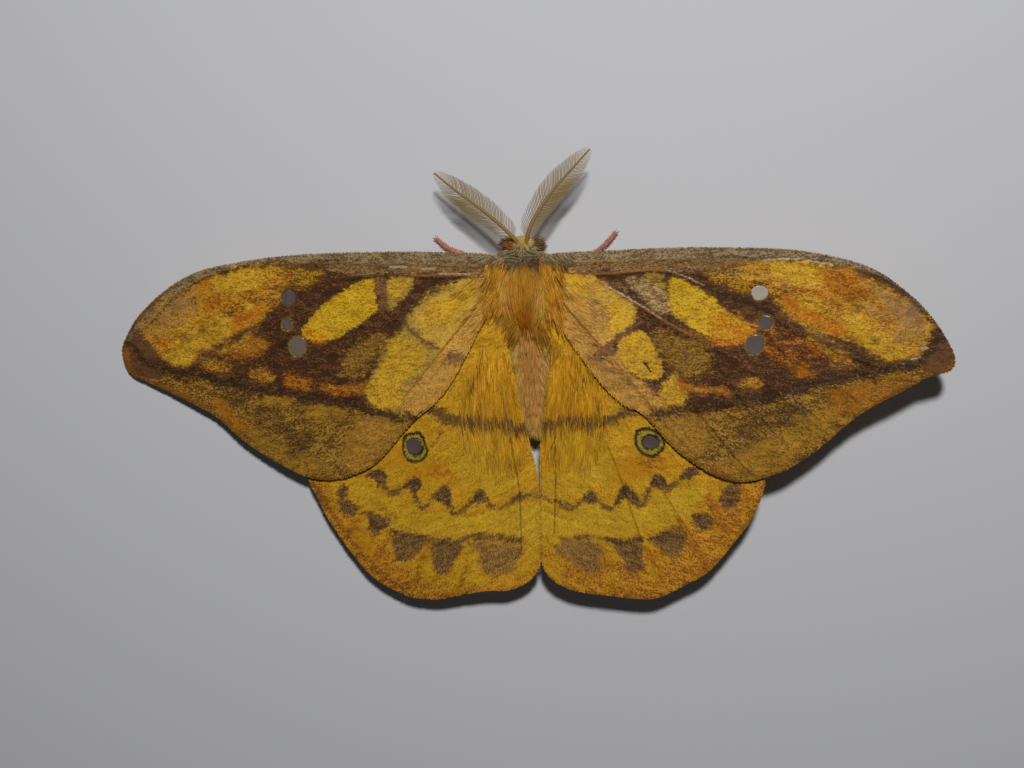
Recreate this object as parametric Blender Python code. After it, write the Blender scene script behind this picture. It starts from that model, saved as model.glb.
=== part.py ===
"""A male Copaxa silk moth at rest with its wings spread, life size.

Metres, +Z up, +Y towards the head, +X to the moth's right. The moth stands on its feet at Z = 0,
and the origin is under the middle of its box. Sizes are in millimetres, times MM.
"""
import math
import random

import bmesh
import bpy
import numpy as np
from mathutils import Vector
from mathutils.geometry import delaunay_2d_cdt

MM = 0.001

# Driving sizes
GAP = 0.3                   # kept between neighbouring parts
WING_THICK = 0.5
VEIN_RISE = 0.28
VEIN_HALF_WIDTH = 0.42
WING_ROOT_LEVEL = 11.0      # underside of the forewing at the thorax
HINDWING_DROP = 1.15        # the hindwing lies this far under the forewing
TIP_DROP = {"left": 9.0, "right": -0.5}
REAR_DROP = {"left": 1.2, "right": 1.0}
WING_REACH = 56.0           # from the wing's root to its tip
ROOT_REACH = 4.0            # of the root from the middle of the body
WING_FRONT_Y = 16.4
WING_CHORD = 30.0           # from the front edge of the forewing to its rear corner
TIP_BEND = 1.1
REAR_BEND = 1.5
RIM_SPACING = 2.2           # between the points of a wing's outline
VEIN_SPACING = 4.5
SHEET_SPACING = 6.0         # between the points of a wing away from its rim and veins
SHEET_CLEAR = 1.8
VEIN_FADE = 0.2             # share of a vein over which its ridge fades out
MERGE = 0.02

# Body axis and section: y, x, z, half width, half height above the axis and below it
HEAD_SECTIONS = (
    (20.8, 0.6, 7.4, 0.9, 0.9, 1.0),
    (20.2, 0.6, 7.7, 1.75, 1.6, 1.7),
    (19.5, 0.6, 7.9, 2.05, 1.9, 1.9),
    (18.8, 0.6, 8.0, 1.9, 1.8, 1.8),
)
THORAX_SECTIONS = (
    (18.5, 0.6, 8.1, 1.8, 1.8, 1.9),
    (17.6, 0.6, 8.4, 3.0, 2.9, 3.0),
    (16.0, 0.7, 8.5, 3.8, 3.7, 3.6),
    (13.6, 0.8, 8.5, 4.0, 4.0, 3.9),
    (11.2, 1.0, 8.2, 3.7, 3.8, 3.7),
    (9.4, 1.2, 7.7, 3.1, 3.1, 3.2),
    (8.2, 1.35, 7.3, 2.6, 2.5, 2.6),
)
ABDOMEN_SECTIONS = (
    (7.9, 1.35, 7.2, 2.5, 2.4, 2.5),
    (5.5, 1.5, 7.0, 2.8, 2.5, 2.6),
    (2.0, 1.8, 6.6, 2.7, 2.3, 2.5),
    (-2.0, 1.9, 6.0, 2.2, 1.9, 2.1),
    (-5.0, 2.15, 5.5, 1.5, 1.3, 1.5),
    (-7.0, 2.4, 5.2, 0.7, 0.6, 0.7),
)
BODY_SIDES = 16
BODY_SPACING = 1.15
HEAD_SPACING = 0.6

# Coat: locks in rows round the body. First and last y of the rows and their count, the places round
# the body in degrees (90 is the back) in even and in odd rows, and each lock's length backwards,
# width, height of its tip above the body and sideways swing in degrees.
THORAX_COAT = (
    (17.9, 9.4, 7, (68, 90, 112), (57, 79, 101, 123), 4.0, 1.7, 0.8, 6),
    (17.5, 11.6, 5, (49, 131), (46, 134), 4.4, 1.9, 2.0, 9),
    (17.0, 10.2, 4, (20, -36, 160, 216), (-8, -62, 188, 242), 3.4, 1.6, 0.75, 4),
    (16.4, 10.8, 3, (-90,), (-90,), 3.0, 1.6, 0.6, 0),
)
ABDOMEN_COAT = (
    (5.0, -5.0, 6, (90, 18, 162, -54, 234), (54, 126, -18, 198, -90), 2.9, 1.5, 0.65, 3),
    (-5.9, -6.3, 2, (30, 150, 270), (90, 210, 330), 2.1, 1.0, -0.05, 0),
)
HEAD_COAT = (
    (20.2, 19.2, 2, (62, 90, 118), (40, 76, 104, 140), -0.9, 0.9, 0.5, 0),
    (19.9, 19.9, 1, (-68, -112), (), -1.2, 0.9, 0.5, 0),
)
LOCK_THICK = 0.6
LOCK_SINK = 0.9             # depth of a lock's root in the body
LOCK_ALONG = (0.0, 0.25, 0.62, 1.0)     # places along a lock, as shares of its length
LOCK_WIDTHS = (0.75, 1.0, 0.8)          # shares of its width there, before its tip
LOCK_RISES = (0.12, 0.75)               # height where it leaves the body, and share of its rise
LOCK_SPREAD = 0.12          # share by which locks differ
ROW_SPREAD = 0.3
TURN_SPREAD = 3.0
SEED = 8

# Eyes
EYE_RADIUS = 1.2
EYE_SIDES = 14
EYE_PLACES = {"left": (-1.1, 19.65, 7.5), "right": (2.3, 19.65, 7.5)}

# Antennae: the shaft from its root to its tip, and the reach of the feather each side of it
ANTENNA_SHAFTS = {
    "left": ((0.1, 20.1, 9.2), (-0.5, 20.9, 9.5), (-2.0, 22.4, 9.5), (-4.1, 24.1, 9.0),
             (-6.3, 25.7, 8.5), (-8.5, 27.2, 8.0), (-12.0, 29.9, 7.4)),
    "right": ((1.2, 20.1, 9.2), (1.4, 21.3, 9.5), (2.1, 23.2, 9.6), (3.5, 25.6, 9.5),
              (4.9, 27.6, 9.3), (7.2, 30.2, 9.1), (10.0, 33.3, 8.8)),
}
SHAFT_RADIUS = (0.36, 0.2)
SHAFT_SPACING = 1.5
SHAFT_SIDES = 6
FINE_SPACING = 0.1
SCAPE_RADIUS = 0.5
RAY_COUNT = 13
RAY_FIRST = 0.1             # share of the shaft before the first ray
RAY_LENGTH = 2.9
RAY_SPLAY = (66.0, 34.0)    # degrees from the shaft's direction, at the ray's root and at its tip
RAY_GROWTH = (0.5, 1.6)     # share of the full length at the root, and its gain along the shaft
RAY_DECLINE = (1.12, 1.9)   # the same for the rays' getting shorter towards the tip
RAY_WIDTH = 0.56
RAY_THICK = 0.5
RAY_DROOP = 0.35
RAY_STAGGER = 0.15          # of the rays' spacing, between the two rows

# Legs: points from the hip over the knee and ankle to the toe, and the radius at each
LEG_PATHS = {
    "foreleg_left": ((-0.3, 16.9, 6.4), (-2.8, 17.2, 5.6), (-5.2, 17.5, 5.4), (-7.6, 17.3, 1.8),
                     (-9.3, 18.0, 0.28), (-11.3, 18.9, 0.28), (-12.8, 20.2, 0.28)),
    "foreleg_right": ((1.5, 16.9, 6.4), (4.0, 17.2, 5.6), (6.4, 17.5, 5.4), (8.8, 17.3, 1.8),
                      (10.6, 18.1, 0.28), (12.4, 19.6, 0.28), (13.7, 21.2, 0.28)),
    "midleg_left": ((-0.8, 14.3, 6.0), (-4.2, 14.6, 5.2), (-7.0, 13.6, 6.0), (-10.6, 10.6, 1.8),
                    (-12.8, 8.8, 0.28), (-15.0, 7.4, 0.28), (-16.8, 5.6, 0.28)),
    "midleg_right": ((1.8, 14.3, 6.0), (5.2, 14.6, 5.2), (8.0, 13.6, 6.0), (11.6, 10.6, 1.8),
                     (13.8, 8.8, 0.28), (16.0, 7.4, 0.28), (17.8, 5.6, 0.28)),
    "hindleg_left": ((-0.2, 10.6, 6.4), (-3.6, 9.0, 5.4), (-6.2, 6.0, 6.0), (-7.8, -0.6, 1.8),
                     (-8.6, -3.4, 0.28), (-9.8, -5.8, 0.28), (-10.6, -8.6, 0.28)),
    "hindleg_right": ((2.0, 10.6, 6.4), (5.6, 9.0, 5.4), (8.2, 6.0, 6.0), (10.2, -0.6, 1.8),
                      (11.2, -3.4, 0.28), (12.6, -5.8, 0.28), (13.6, -8.6, 0.28)),
}
LEG_RADII = (0.85, 0.72, 0.62, 0.52, 0.34, 0.34, 0.24)
LEG_SIDES = 8
LEG_SPACING = 1.5

# Wing outlines seen from above, root to root by way of the tip. Each root point lies in the thorax.
FOREWING_OUTLINES = {
    "right": ((1.6, 17.2), (4.6, 18.75), (14.7, 19.4), (23.1, 19.8), (31.4, 19.8), (37.6, 19.6),
              (43.0, 18.8), (47.2, 17.7), (50.5, 16.1), (53.9, 13.6), (56.5, 11.1), (58.7, 8.2),
              (60.1, 5.7), (60.4, 4.4), (59.9, 3.3), (58.2, 2.8), (56.2, 2.0), (53.0, 0.0),
              (48.9, -2.3), (45.7, -5.0), (42.5, -8.1), (39.2, -10.6), (36.7, -11.9), (33.3, -13.0),
              (30.7, -13.1), (28.1, -12.2), (25.5, -10.7), (23.3, -9.1), (21.1, -7.0), (19.4, -5.0),
              (17.6, -3.3), (15.2, -2.2), (13.2, -0.4), (11.2, 1.8), (7.3, 7.2), (4.9, 10.9),
              (2.2, 12.6)),
    "left": ((-0.8, 17.0), (-3.6, 18.6), (-9.4, 18.8), (-16.7, 18.8), (-27.0, 18.4), (-35.3, 17.7),
             (-42.1, 16.6), (-46.8, 15.5), (-50.1, 14.1), (-53.3, 12.1), (-56.0, 9.8), (-58.1, 7.6),
             (-59.7, 5.0), (-60.4, 3.5), (-60.4, 2.1), (-59.9, 0.5), (-58.9, -0.6), (-57.2, -1.2),
             (-52.0, -3.3), (-46.9, -5.6), (-44.5, -7.2), (-42.0, -9.4), (-39.8, -10.9),
             (-36.5, -12.7), (-31.8, -14.8), (-27.5, -15.0), (-24.1, -13.9), (-21.2, -12.2),
             (-18.9, -9.8), (-16.5, -6.9), (-14.4, -4.7), (-12.2, -2.9), (-9.5, 0.5), (-7.1, 4.9),
             (-5.2, 8.6), (-3.6, 11.6), (-1.2, 12.6)),
}
HINDWING_OUTLINES = {
    "right": ((1.8, 11.6), (8.0, 9.4), (17.0, 4.4), (26.0, -2.6), (32.5, -9.4), (35.1, -13.1),
              (35.0, -15.1), (34.4, -17.1), (33.3, -19.6), (31.7, -21.9), (29.9, -24.5),
              (28.3, -26.5), (26.5, -28.1), (24.3, -29.4), (22.2, -30.6), (20.4, -31.4),
              (18.4, -31.7), (13.3, -31.3), (8.9, -30.8), (6.9, -30.1), (5.2, -29.1), (4.1, -27.7),
              (3.6, -26.2), (3.5, -24.4), (3.45, -16.9), (3.4, -11.8), (3.5, -7.6), (3.9, -4.9),
              (4.5, -0.5), (5.0, 3.8), (4.9, 6.6), (3.6, 8.8), (2.2, 9.4)),
    "left": ((-0.6, 11.6), (-6.0, 9.6), (-14.0, 4.6), (-22.5, -2.4), (-29.2, -9.8),
             (-31.8, -14.0), (-31.5, -16.1), (-30.3, -18.4), (-29.1, -21.0), (-27.4, -23.7),
             (-25.6, -26.2), (-23.9, -28.5), (-22.4, -30.0), (-20.6, -31.3), (-18.3, -32.4),
             (-16.0, -33.1), (-13.2, -33.2), (-11.0, -32.9), (-7.1, -31.7), (-4.3, -31.2),
             (-1.8, -31.1), (0.1, -30.4), (1.7, -29.3), (2.8, -27.9), (3.15, -26.4), (3.15, -24.5),
             (3.0, -16.9), (2.7, -12.9), (2.1, -10.4), (1.4, -7.7), (0.2, -2.5), (-0.7, 2.3),
             (-1.6, 6.2), (-1.5, 8.8), (-0.6, 9.4)),
}

# Main veins of the right wings, each from its root outwards
FOREWING_VEINS = (
    ((5.0, 17.4), (20.0, 18.3), (31.0, 18.7), (40.0, 17.8), (46.5, 15.9)),
    ((5.0, 16.6), (12.1, 16.2), (20.2, 16.7), (27.0, 15.9), (34.0, 15.2), (41.0, 12.6),
     (50.0, 7.6), (57.6, 3.9)),
    ((11.1, 15.3), (15.8, 12.6), (20.5, 9.7), (26.0, 6.8), (31.0, 4.2), (37.6, -1.0), (43.3, -5.8)),
    ((34.0, 15.2), (35.4, 10.8), (43.0, 6.4), (54.6, 2.2)),
    ((35.4, 10.8), (35.2, 7.4), (42.0, 2.4), (48.3, -1.4)),
    ((26.0, 6.8), (32.6, -2.6), (38.0, -10.2)),
    ((20.5, 9.7), (25.0, -1.6), (30.0, -8.1), (32.9, -11.9)),
    ((5.2, 13.9), (9.0, 9.2), (16.0, 1.0), (22.5, -6.4), (28.2, -11.2)),
)
HINDWING_VEINS = (
    ((5.0, 9.6), (16.0, 2.6), (25.0, -6.0), (33.6, -15.6)),
    ((5.0, 8.8), (13.0, 1.0), (21.0, -8.0), (27.2, -16.4), (31.0, -22.2)),
    ((13.0, 1.0), (18.0, -10.0), (22.6, -18.0), (27.2, -26.2)),
    ((5.0, 7.8), (10.0, -1.5), (14.5, -12.3), (17.8, -21.7), (21.0, -29.8)),
    ((6.6, 3.4), (9.2, -8.0), (11.6, -19.0), (13.6, -30.2)),
    ((5.9, 3.4), (5.9, -10.1), (6.0, -16.8), (6.2, -28.2)),
)

# The left wing as a mirror image of the right one, stretched and sheared by its droop:
# x and y of the left from x, y and 1 of the right
FOREWING_TO_LEFT = ((-1.0572, -0.0831, 3.581), (-0.0427, 1.0103, -0.341))
HINDWING_TO_LEFT = ((-1.0577, -0.1006, 4.408), (-0.1048, 0.9972, 0.347))

SHARP_ANGLE = 40
COLOURS = {
    "head": (0.38, 0.27, 0.1),
    "thorax": (0.55, 0.27, 0.04),
    "abdomen": (0.6, 0.3, 0.1),
    "eye": (0.03, 0.015, 0.01),
    "antenna": (0.36, 0.27, 0.13),
    "leg": (0.55, 0.17, 0.1),
    "forewing": (0.35, 0.2, 0.04),
    "hindwing": (0.6, 0.36, 0.03),
}


def clear_scene():
    """Empty the scene."""
    for obj in list(bpy.data.objects):
        bpy.data.objects.remove(obj)


def material(kind):
    """The finish of one kind of part, made once."""
    name = "moth_" + kind
    if name in bpy.data.materials:
        return bpy.data.materials[name]
    made = bpy.data.materials.new(name)
    made.use_nodes = True
    shader = made.node_tree.nodes["Principled BSDF"]
    shader.inputs["Base Color"].default_value = (*COLOURS[kind], 1.0)
    shader.inputs["Roughness"].default_value = 0.25 if kind == "eye" else 0.8
    shader.inputs["Metallic"].default_value = 0.0
    return made


def solid(name, kind, points, faces):
    """A mesh object from points in millimetres and faces that point outwards."""
    mesh = bpy.data.meshes.new(name)
    mesh.from_pydata([tuple(float(c) * MM for c in p) for p in points], [], faces)
    mesh.validate()
    mesh.materials.append(material(kind))
    obj = bpy.data.objects.new(name, mesh)
    bpy.context.scene.collection.objects.link(obj)
    return obj


def smooth_line(points, spacing, closed=False):
    """Points about one spacing apart on a smooth curve through the given ones."""
    known = [np.array(p, float) for p in points]
    count = len(known)
    line = []
    for i in range(count if closed else count - 1):
        before = known[i - 1] if closed or i else known[0] * 2 - known[1]
        here = known[i]
        after = known[(i + 1) % count]
        last = known[-1] * 2 - known[-2]
        beyond = known[(i + 2) % count] if closed or i + 2 < count else last
        steps = max(1, round(np.linalg.norm((after - here)[:3]) / spacing))
        for step in range(steps):
            t = step / steps
            line.append(0.5 * (2 * here + (after - before) * t
                               + (2 * before - 5 * here + 4 * after - beyond) * t * t
                               + (3 * here - before - 3 * after + beyond) * t ** 3))
    if not closed:
        line.append(known[-1])
    return np.array(line)


def ring_faces(rings, sides):
    """Faces of a tube of rings, with a point at each end: start point first, end point last."""
    faces = []
    first, last = 0, 1 + rings * sides
    for i in range(sides):
        j = (i + 1) % sides
        faces.append((first, 1 + j, 1 + i))
        for ring in range(rings - 1):
            a, b = 1 + ring * sides, 1 + (ring + 1) * sides
            faces.append((a + i, a + j, b + j, b + i))
        end = 1 + (rings - 1) * sides
        faces.append((last, end + i, end + j))
    return faces


def body_place(y, turn, lift):
    """A point on the body at one y, turned round its axis and lifted off its surface."""
    line = np.array(HEAD_SECTIONS + THORAX_SECTIONS + ABDOMEN_SECTIONS)[::-1]
    x, z, half, up, down = (np.interp(y, line[:, 0], line[:, column]) for column in range(1, 6))
    tall = up if math.sin(turn) > 0 else down
    return np.array((x + (half + lift) * math.cos(turn), y, z + (tall + lift) * math.sin(turn)))


def blade(kind, path, outs, widths, thick):
    """A flat tapered piece along a path that ends in its tip. Outs are where its flat side faces."""
    points = [tuple(path[0])]
    last = len(path) - 1
    for k in range(last):
        ahead = Vector(path[k + 1] - path[max(k - 1, 0)]).normalized()
        across = ahead.cross(Vector(outs[k])).normalized()
        upward = across.cross(ahead)
        for side, height in ((1, 0), (0, -1), (-1, 0), (0, 1)):
            offset = across * side * widths[k] / 2 + upward * height * thick / 2
            points.append(tuple(Vector(path[k]) + offset))
    points.append(tuple(path[last]))
    return solid("blade", kind, points, ring_faces(last, 4))


def coat_lock(kind, y, turn, length, width, rise, swing):
    """One lock: rooted in the body, it bends over and lies back along it."""
    aside = swing * (-1 if turn < 90 else 1)
    lifts = (-LOCK_SINK, LOCK_RISES[0], rise * LOCK_RISES[1], rise)
    turns = [math.radians(turn + aside * along) for along in LOCK_ALONG]
    path = [body_place(y - length * along, a, lift)
            for along, a, lift in zip(LOCK_ALONG, turns, lifts)]
    outs = [(math.cos(a), 0, math.sin(a)) for a in turns]
    return blade(kind, path, outs, [width * share for share in LOCK_WIDTHS], LOCK_THICK)


def coat(kind, rows):
    """The locks of one part of the body."""
    locks = []
    for first, last, count, even, odd, *sizes in rows:
        for row, y in enumerate(np.linspace(first, last, count)):
            for turn in (odd if row % 2 else even):
                length, width, rise, swing = (s * random.uniform(1 - LOCK_SPREAD, 1 + LOCK_SPREAD)
                                              for s in sizes)
                place = y + random.uniform(-ROW_SPREAD, ROW_SPREAD)
                turn += random.uniform(-TURN_SPREAD, TURN_SPREAD)
                locks.append(coat_lock(kind, place, turn, length, width, rise, swing))
    return locks


def furred(core, rows, cutters):
    """A body with its coat of locks, cut clear of the parts that grow from it."""
    locks = coat(core.name, rows)
    joined = apply_boolean(locks[0], locks[1:], "UNION", "MANIFOLD")
    apply_boolean(joined, cutters, "DIFFERENCE", "MANIFOLD")
    return apply_boolean(core, [joined], "UNION", "MANIFOLD")


def body(name, kind, sections, grow=0.0, spacing=BODY_SPACING):
    """A round body through its sections from front to back, closed by flat ends."""
    rings = smooth_line(sections, spacing)
    points = [(rings[0][1], rings[0][0] + grow, rings[0][2])]
    for k, (y, x, z, half, up, down) in enumerate(rings):
        y += grow * (k == 0) - grow * (k == len(rings) - 1)
        for i in range(BODY_SIDES):
            angle = 2 * math.pi * i / BODY_SIDES
            tall = (up if math.sin(angle) > 0 else down) + grow
            points.append((x + (half + grow) * math.cos(angle), y, z + tall * math.sin(angle)))
    points.append((rings[-1][1], rings[-1][0] - grow, rings[-1][2]))
    return solid(name, kind, points, ring_faces(len(rings), BODY_SIDES))


def tube(name, kind, path, radii, sides, floor=None):
    """A round limb along a path. With a floor, its underside is flattened there."""
    points = [path[0]]
    for k, (centre, radius) in enumerate(zip(path, radii)):
        ahead = path[min(k + 1, len(path) - 1)] - path[max(k - 1, 0)]
        ahead = Vector(ahead).normalized()
        side = ahead.cross(Vector((0, 0, 1))).normalized()
        upward = side.cross(ahead)
        for i in range(sides):
            angle = 2 * math.pi * (i + 0.5) / sides
            offset = side * math.cos(angle) - upward * math.sin(angle)
            points.append(tuple(Vector(centre) + offset * radius))
    points.append(path[-1])
    if floor is not None:
        points = [(p[0], p[1], max(p[2], floor)) for p in points]
    return solid(name, kind, points, ring_faces(len(path), sides))


def wing_level(side, x, y):
    """Underside of the forewing: level at the root, drooping to the tip and to the rear."""
    reach = max(0.0, (abs(x) - ROOT_REACH) / WING_REACH)
    rear = max(0.0, (WING_FRONT_Y - y) / WING_CHORD)
    return WING_ROOT_LEVEL - TIP_DROP[side] * reach ** TIP_BEND - REAR_DROP[side] * rear ** REAR_BEND


def to_left(points, change):
    """Points of a right wing moved to the left one."""
    (ax, ay, a0), (bx, by, b0) = change
    return [(ax * x + ay * y + a0, bx * x + by * y + b0) for x, y in points]


def distance_to(line, point):
    """Distance from a point to a line of points, and how far along it the nearest place is."""
    a, b = line[:-1], line[1:]
    run = b - a
    t = np.clip(((point - a) * run).sum(1) / (run * run).sum(1), 0, 1)
    gaps = np.linalg.norm(a + run * t[:, None] - point, axis=1)
    k = int(gaps.argmin())
    lengths = np.linalg.norm(run, axis=1)
    return gaps[k], (lengths[:k].sum() + lengths[k] * t[k]) / lengths.sum()


def vein_rise(veins, point):
    """Height of the nearest vein's ridge at a point, fading out towards the margin."""
    rise = 0.0
    for vein in veins:
        gap, along = distance_to(vein, point)
        fade = min(1.0, (1.0 - along) / VEIN_FADE)
        rise = max(rise, VEIN_RISE * max(0.0, 1 - gap / VEIN_HALF_WIDTH) * fade)
    return rise


def inside(outline, point):
    """Whether a point is inside a closed outline."""
    crossed = False
    for a, b in zip(outline, np.roll(outline, -1, axis=0)):
        if (a[1] > point[1]) != (b[1] > point[1]):
            crossed ^= point[0] < a[0] + (point[1] - a[1]) / (b[1] - a[1]) * (b[0] - a[0])
    return crossed


def wing_plan(outline, veins):
    """Triangles of a wing seen from above, with an edge along each vein and each vein's feet."""
    points = [tuple(p) for p in outline]
    edges = []
    for vein in veins:
        run = np.gradient(vein, axis=0)
        across = np.stack([-run[:, 1], run[:, 0]], 1)
        across /= np.linalg.norm(across, axis=1)[:, None]
        for offset in (-VEIN_HALF_WIDTH, 0.0, VEIN_HALF_WIDTH):
            line = vein + across * offset
            edges += [(len(points) + i, len(points) + i + 1) for i in range(len(line) - 1)]
            points += [tuple(p) for p in line]
    low, high = outline.min(0) + SHEET_SPACING / 2, outline.max(0)
    for x in np.arange(low[0], high[0], SHEET_SPACING):
        for y in np.arange(low[1], high[1], SHEET_SPACING):
            place = np.array((x, y))
            near = min(distance_to(vein, place)[0] for vein in veins)
            near = min(near, np.linalg.norm(outline - place, axis=1).min())
            if near > SHEET_CLEAR and inside(outline, place):
                points.append((x, y))
    rim = [list(range(len(outline)))]
    made = delaunay_2d_cdt([Vector(p) for p in points], edges, rim, 1, MERGE)
    return [tuple(p) for p in made[0]], [tuple(f) for f in made[2]]


def wing(name, kind, side, outline, veins, drop, spread=0.0):
    """A wing of even thickness with its veins raised on top. Spread makes it stand out all round."""
    outline = smooth_line(outline, RIM_SPACING, closed=True)
    veins = [smooth_line(vein, VEIN_SPACING) for vein in veins]
    ahead = np.roll(outline, -1, axis=0)
    if (ahead[:, 0] * outline[:, 1] - ahead[:, 1] * outline[:, 0]).sum() > 0:
        outline = outline[::-1]
    if spread:
        run = np.roll(outline, -1, axis=0) - np.roll(outline, 1, axis=0)
        across = np.stack([run[:, 1], -run[:, 0]], 1)
        outline = outline + across / np.linalg.norm(across, axis=1)[:, None] * spread
    flat, faces = wing_plan(outline, veins)
    under = [(x, y, wing_level(side, x, y) - drop - spread) for x, y in flat]
    rises = [vein_rise(veins, np.array(p)) for p in flat]
    over = [(x, y, z + WING_THICK + 2 * spread + rise) for (x, y, z), rise in zip(under, rises)]
    count = len(flat)
    sheet = [f if cross(flat, f) > 0 else f[::-1] for f in faces]
    walls = []
    directed = {(f[i], f[(i + 1) % 3]) for f in sheet for i in range(3)}
    for a, b in directed:
        if (b, a) not in directed:
            walls += [(a + count, a, b), (a + count, b, b + count)]
    top = [tuple(i + count for i in f) for f in sheet]
    bottom = [f[::-1] for f in sheet]
    return solid(name, kind, under + over, top + bottom + walls)


def cross(points, face):
    """Twice the area of a triangle seen from above, positive where it turns to the left."""
    a, b, c = (points[i] for i in face)
    return (b[0] - a[0]) * (c[1] - a[1]) - (b[1] - a[1]) * (c[0] - a[0])


def apply_boolean(obj, others, operation, solver="EXACT"):
    """Join the others to an object or cut them from it, and remove them."""
    group = bpy.data.collections.new("tools")
    for other in others:
        group.objects.link(other)
    change = obj.modifiers.new("change", "BOOLEAN")
    change.operation = operation
    change.solver = solver
    change.operand_type = "COLLECTION"
    change.collection = group
    keep_result(obj)
    for other in others:
        bpy.data.objects.remove(other)
    bpy.data.collections.remove(group)
    return obj


def keep_result(obj):
    """Replace an object's mesh with what its modifiers make of it."""
    bpy.context.view_layer.update()
    graph = bpy.context.evaluated_depsgraph_get()
    made = bpy.data.meshes.new_from_object(obj.evaluated_get(graph))
    obj.modifiers.clear()
    obj.data = made


def keep_largest(obj):
    """Drop every closed surface of a mesh but the one that holds most."""
    mesh = bmesh.new()
    mesh.from_mesh(obj.data)
    left = set(mesh.faces)
    surfaces = []
    while left:
        surface, edge_of_it = [], [left.pop()]
        while edge_of_it:
            face = edge_of_it.pop()
            surface.append(face)
            near = {other for edge in face.edges for other in edge.link_faces} & left
            left -= near
            edge_of_it += near
        surfaces.append(surface)

    def holds(surface):
        corners = [[v.co for v in face.verts] for face in surface]
        return sum(c[0].dot(c[i].cross(c[i + 1])) for c in corners for i in range(1, len(c) - 1))

    best = max(surfaces, key=holds)
    dropped = [face for surface in surfaces if surface is not best for face in surface]
    bmesh.ops.delete(mesh, geom=dropped, context="FACES")
    mesh.to_mesh(obj.data)
    mesh.free()
    return obj


def limb(name, grow=0.0):
    """A leg from hip to toe, its foot flat on the ground."""
    path = smooth_line([(*p, r) for p, r in zip(LEG_PATHS[name], LEG_RADII)], LEG_SPACING)
    return tube(name, "leg", path[:, :3], path[:, 3] + grow, LEG_SIDES, floor=0.0)


def ball(name, kind, centre, radius, sides=EYE_SIDES):
    """A sphere built of rings round the sideways axis."""
    rings = sides // 2
    points = [(centre[0] - radius, centre[1], centre[2])]
    for k in range(1, rings):
        turn = math.pi * k / rings
        for i in range(sides):
            angle = 2 * math.pi * i / sides
            out = radius * math.sin(turn)
            points.append((centre[0] - radius * math.cos(turn), centre[1] + out * math.cos(angle),
                           centre[2] + out * math.sin(angle)))
    points.append((centre[0] + radius, centre[1], centre[2]))
    return solid(name, kind, points, ring_faces(rings - 1, sides))


def shaft(side, grow=0.0):
    """The shaft of an antenna, thickest where it leaves the head."""
    path = smooth_line(ANTENNA_SHAFTS[side], SHAFT_SPACING)
    radii = np.linspace(*SHAFT_RADIUS, len(path)) + grow
    radii[0] = SCAPE_RADIUS + grow
    return tube("antenna_" + side, "antenna", path, radii, SHAFT_SIDES)


def antenna(side):
    """A feathered antenna: its shaft with a row of curved rays on each side, joined in one."""
    path = smooth_line(ANTENNA_SHAFTS[side], FINE_SPACING)
    rays = []
    for way in (-1, 1):
        for k in range(RAY_COUNT):
            along = RAY_FIRST + (1 - RAY_FIRST) * (k + 2 * RAY_STAGGER + RAY_STAGGER * way) / RAY_COUNT
            spot = int(along * (len(path) - 2))
            ahead = Vector(path[spot + 1] - path[spot]).normalized()
            across = ahead.cross(Vector((0, 0, 1))).normalized() * way
            reach = RAY_LENGTH * min(1.0, RAY_GROWTH[0] + along * RAY_GROWTH[1])
            reach *= min(1.0, (RAY_DECLINE[0] - along) * RAY_DECLINE[1])
            place = Vector(path[spot])
            line = [np.array(place)]
            for splay in np.linspace(*RAY_SPLAY, 3):
                turn = math.radians(splay)
                place = place + (ahead * math.cos(turn) + across * math.sin(turn)) * reach / 3
                place.z -= RAY_DROOP / 3
                line.append(np.array(place))
            rays.append(blade("antenna", line, [(0, 0, 1)] * 3, [RAY_WIDTH] * 3, RAY_THICK))
    return apply_boolean(shaft(side), rays, "UNION", "MANIFOLD")


def leg_names(side):
    return ["foreleg_" + side, "midleg_" + side, "hindleg_" + side]


def wing_pair(side, spread=0.0):
    """The forewing and hindwing of one side."""
    fore_veins, hind_veins = FOREWING_VEINS, HINDWING_VEINS
    if side == "left":
        fore_veins = [to_left(v, FOREWING_TO_LEFT) for v in FOREWING_VEINS]
        hind_veins = [to_left(v, HINDWING_TO_LEFT) for v in HINDWING_VEINS]
    return [
        wing("forewing_" + side, "forewing", side, FOREWING_OUTLINES[side], fore_veins, 0.0, spread),
        wing("hindwing_" + side, "hindwing", side, HINDWING_OUTLINES[side], hind_veins,
             HINDWING_DROP, spread),
    ]


def core(name, grow=0.0):
    """The smooth body under one part's coat."""
    sections = {"head": HEAD_SECTIONS, "thorax": THORAX_SECTIONS, "abdomen": ABDOMEN_SECTIONS}[name]
    return body(name, name, sections, grow, HEAD_SPACING if name == "head" else BODY_SPACING)


def build():
    clear_scene()
    random.seed(SEED)
    sides = ("left", "right")
    parts = []
    for side in sides:
        parts.append(apply_boolean(ball("eye_" + side, "eye", EYE_PLACES[side], EYE_RADIUS),
                                   [core("head", GAP)], "DIFFERENCE"))
        parts.append(apply_boolean(antenna(side), [core("head", GAP)], "DIFFERENCE", "MANIFOLD"))
        for part in wing_pair(side) + [limb(name) for name in leg_names(side)]:
            parts.append(apply_boolean(part, [core("thorax", GAP)], "DIFFERENCE"))
    eyes = [ball("eye", "eye", EYE_PLACES[side], EYE_RADIUS + GAP) for side in sides]
    parts.append(furred(core("head"), HEAD_COAT, eyes + [shaft(side, GAP) for side in sides]))
    near = [core("head", GAP), core("abdomen", GAP)]
    for side in sides:
        near += wing_pair(side, GAP) + [limb(name, GAP) for name in leg_names(side)]
    parts.append(furred(core("thorax"), THORAX_COAT, near))
    near = wing_pair("left", GAP) + wing_pair("right", GAP)
    parts.append(furred(core("abdomen"), ABDOMEN_COAT, near))
    for part in parts:
        keep_largest(part)
        part.data.shade_smooth()
        part.data.set_sharp_from_angle(angle=math.radians(SHARP_ANGLE))


build()
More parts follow.
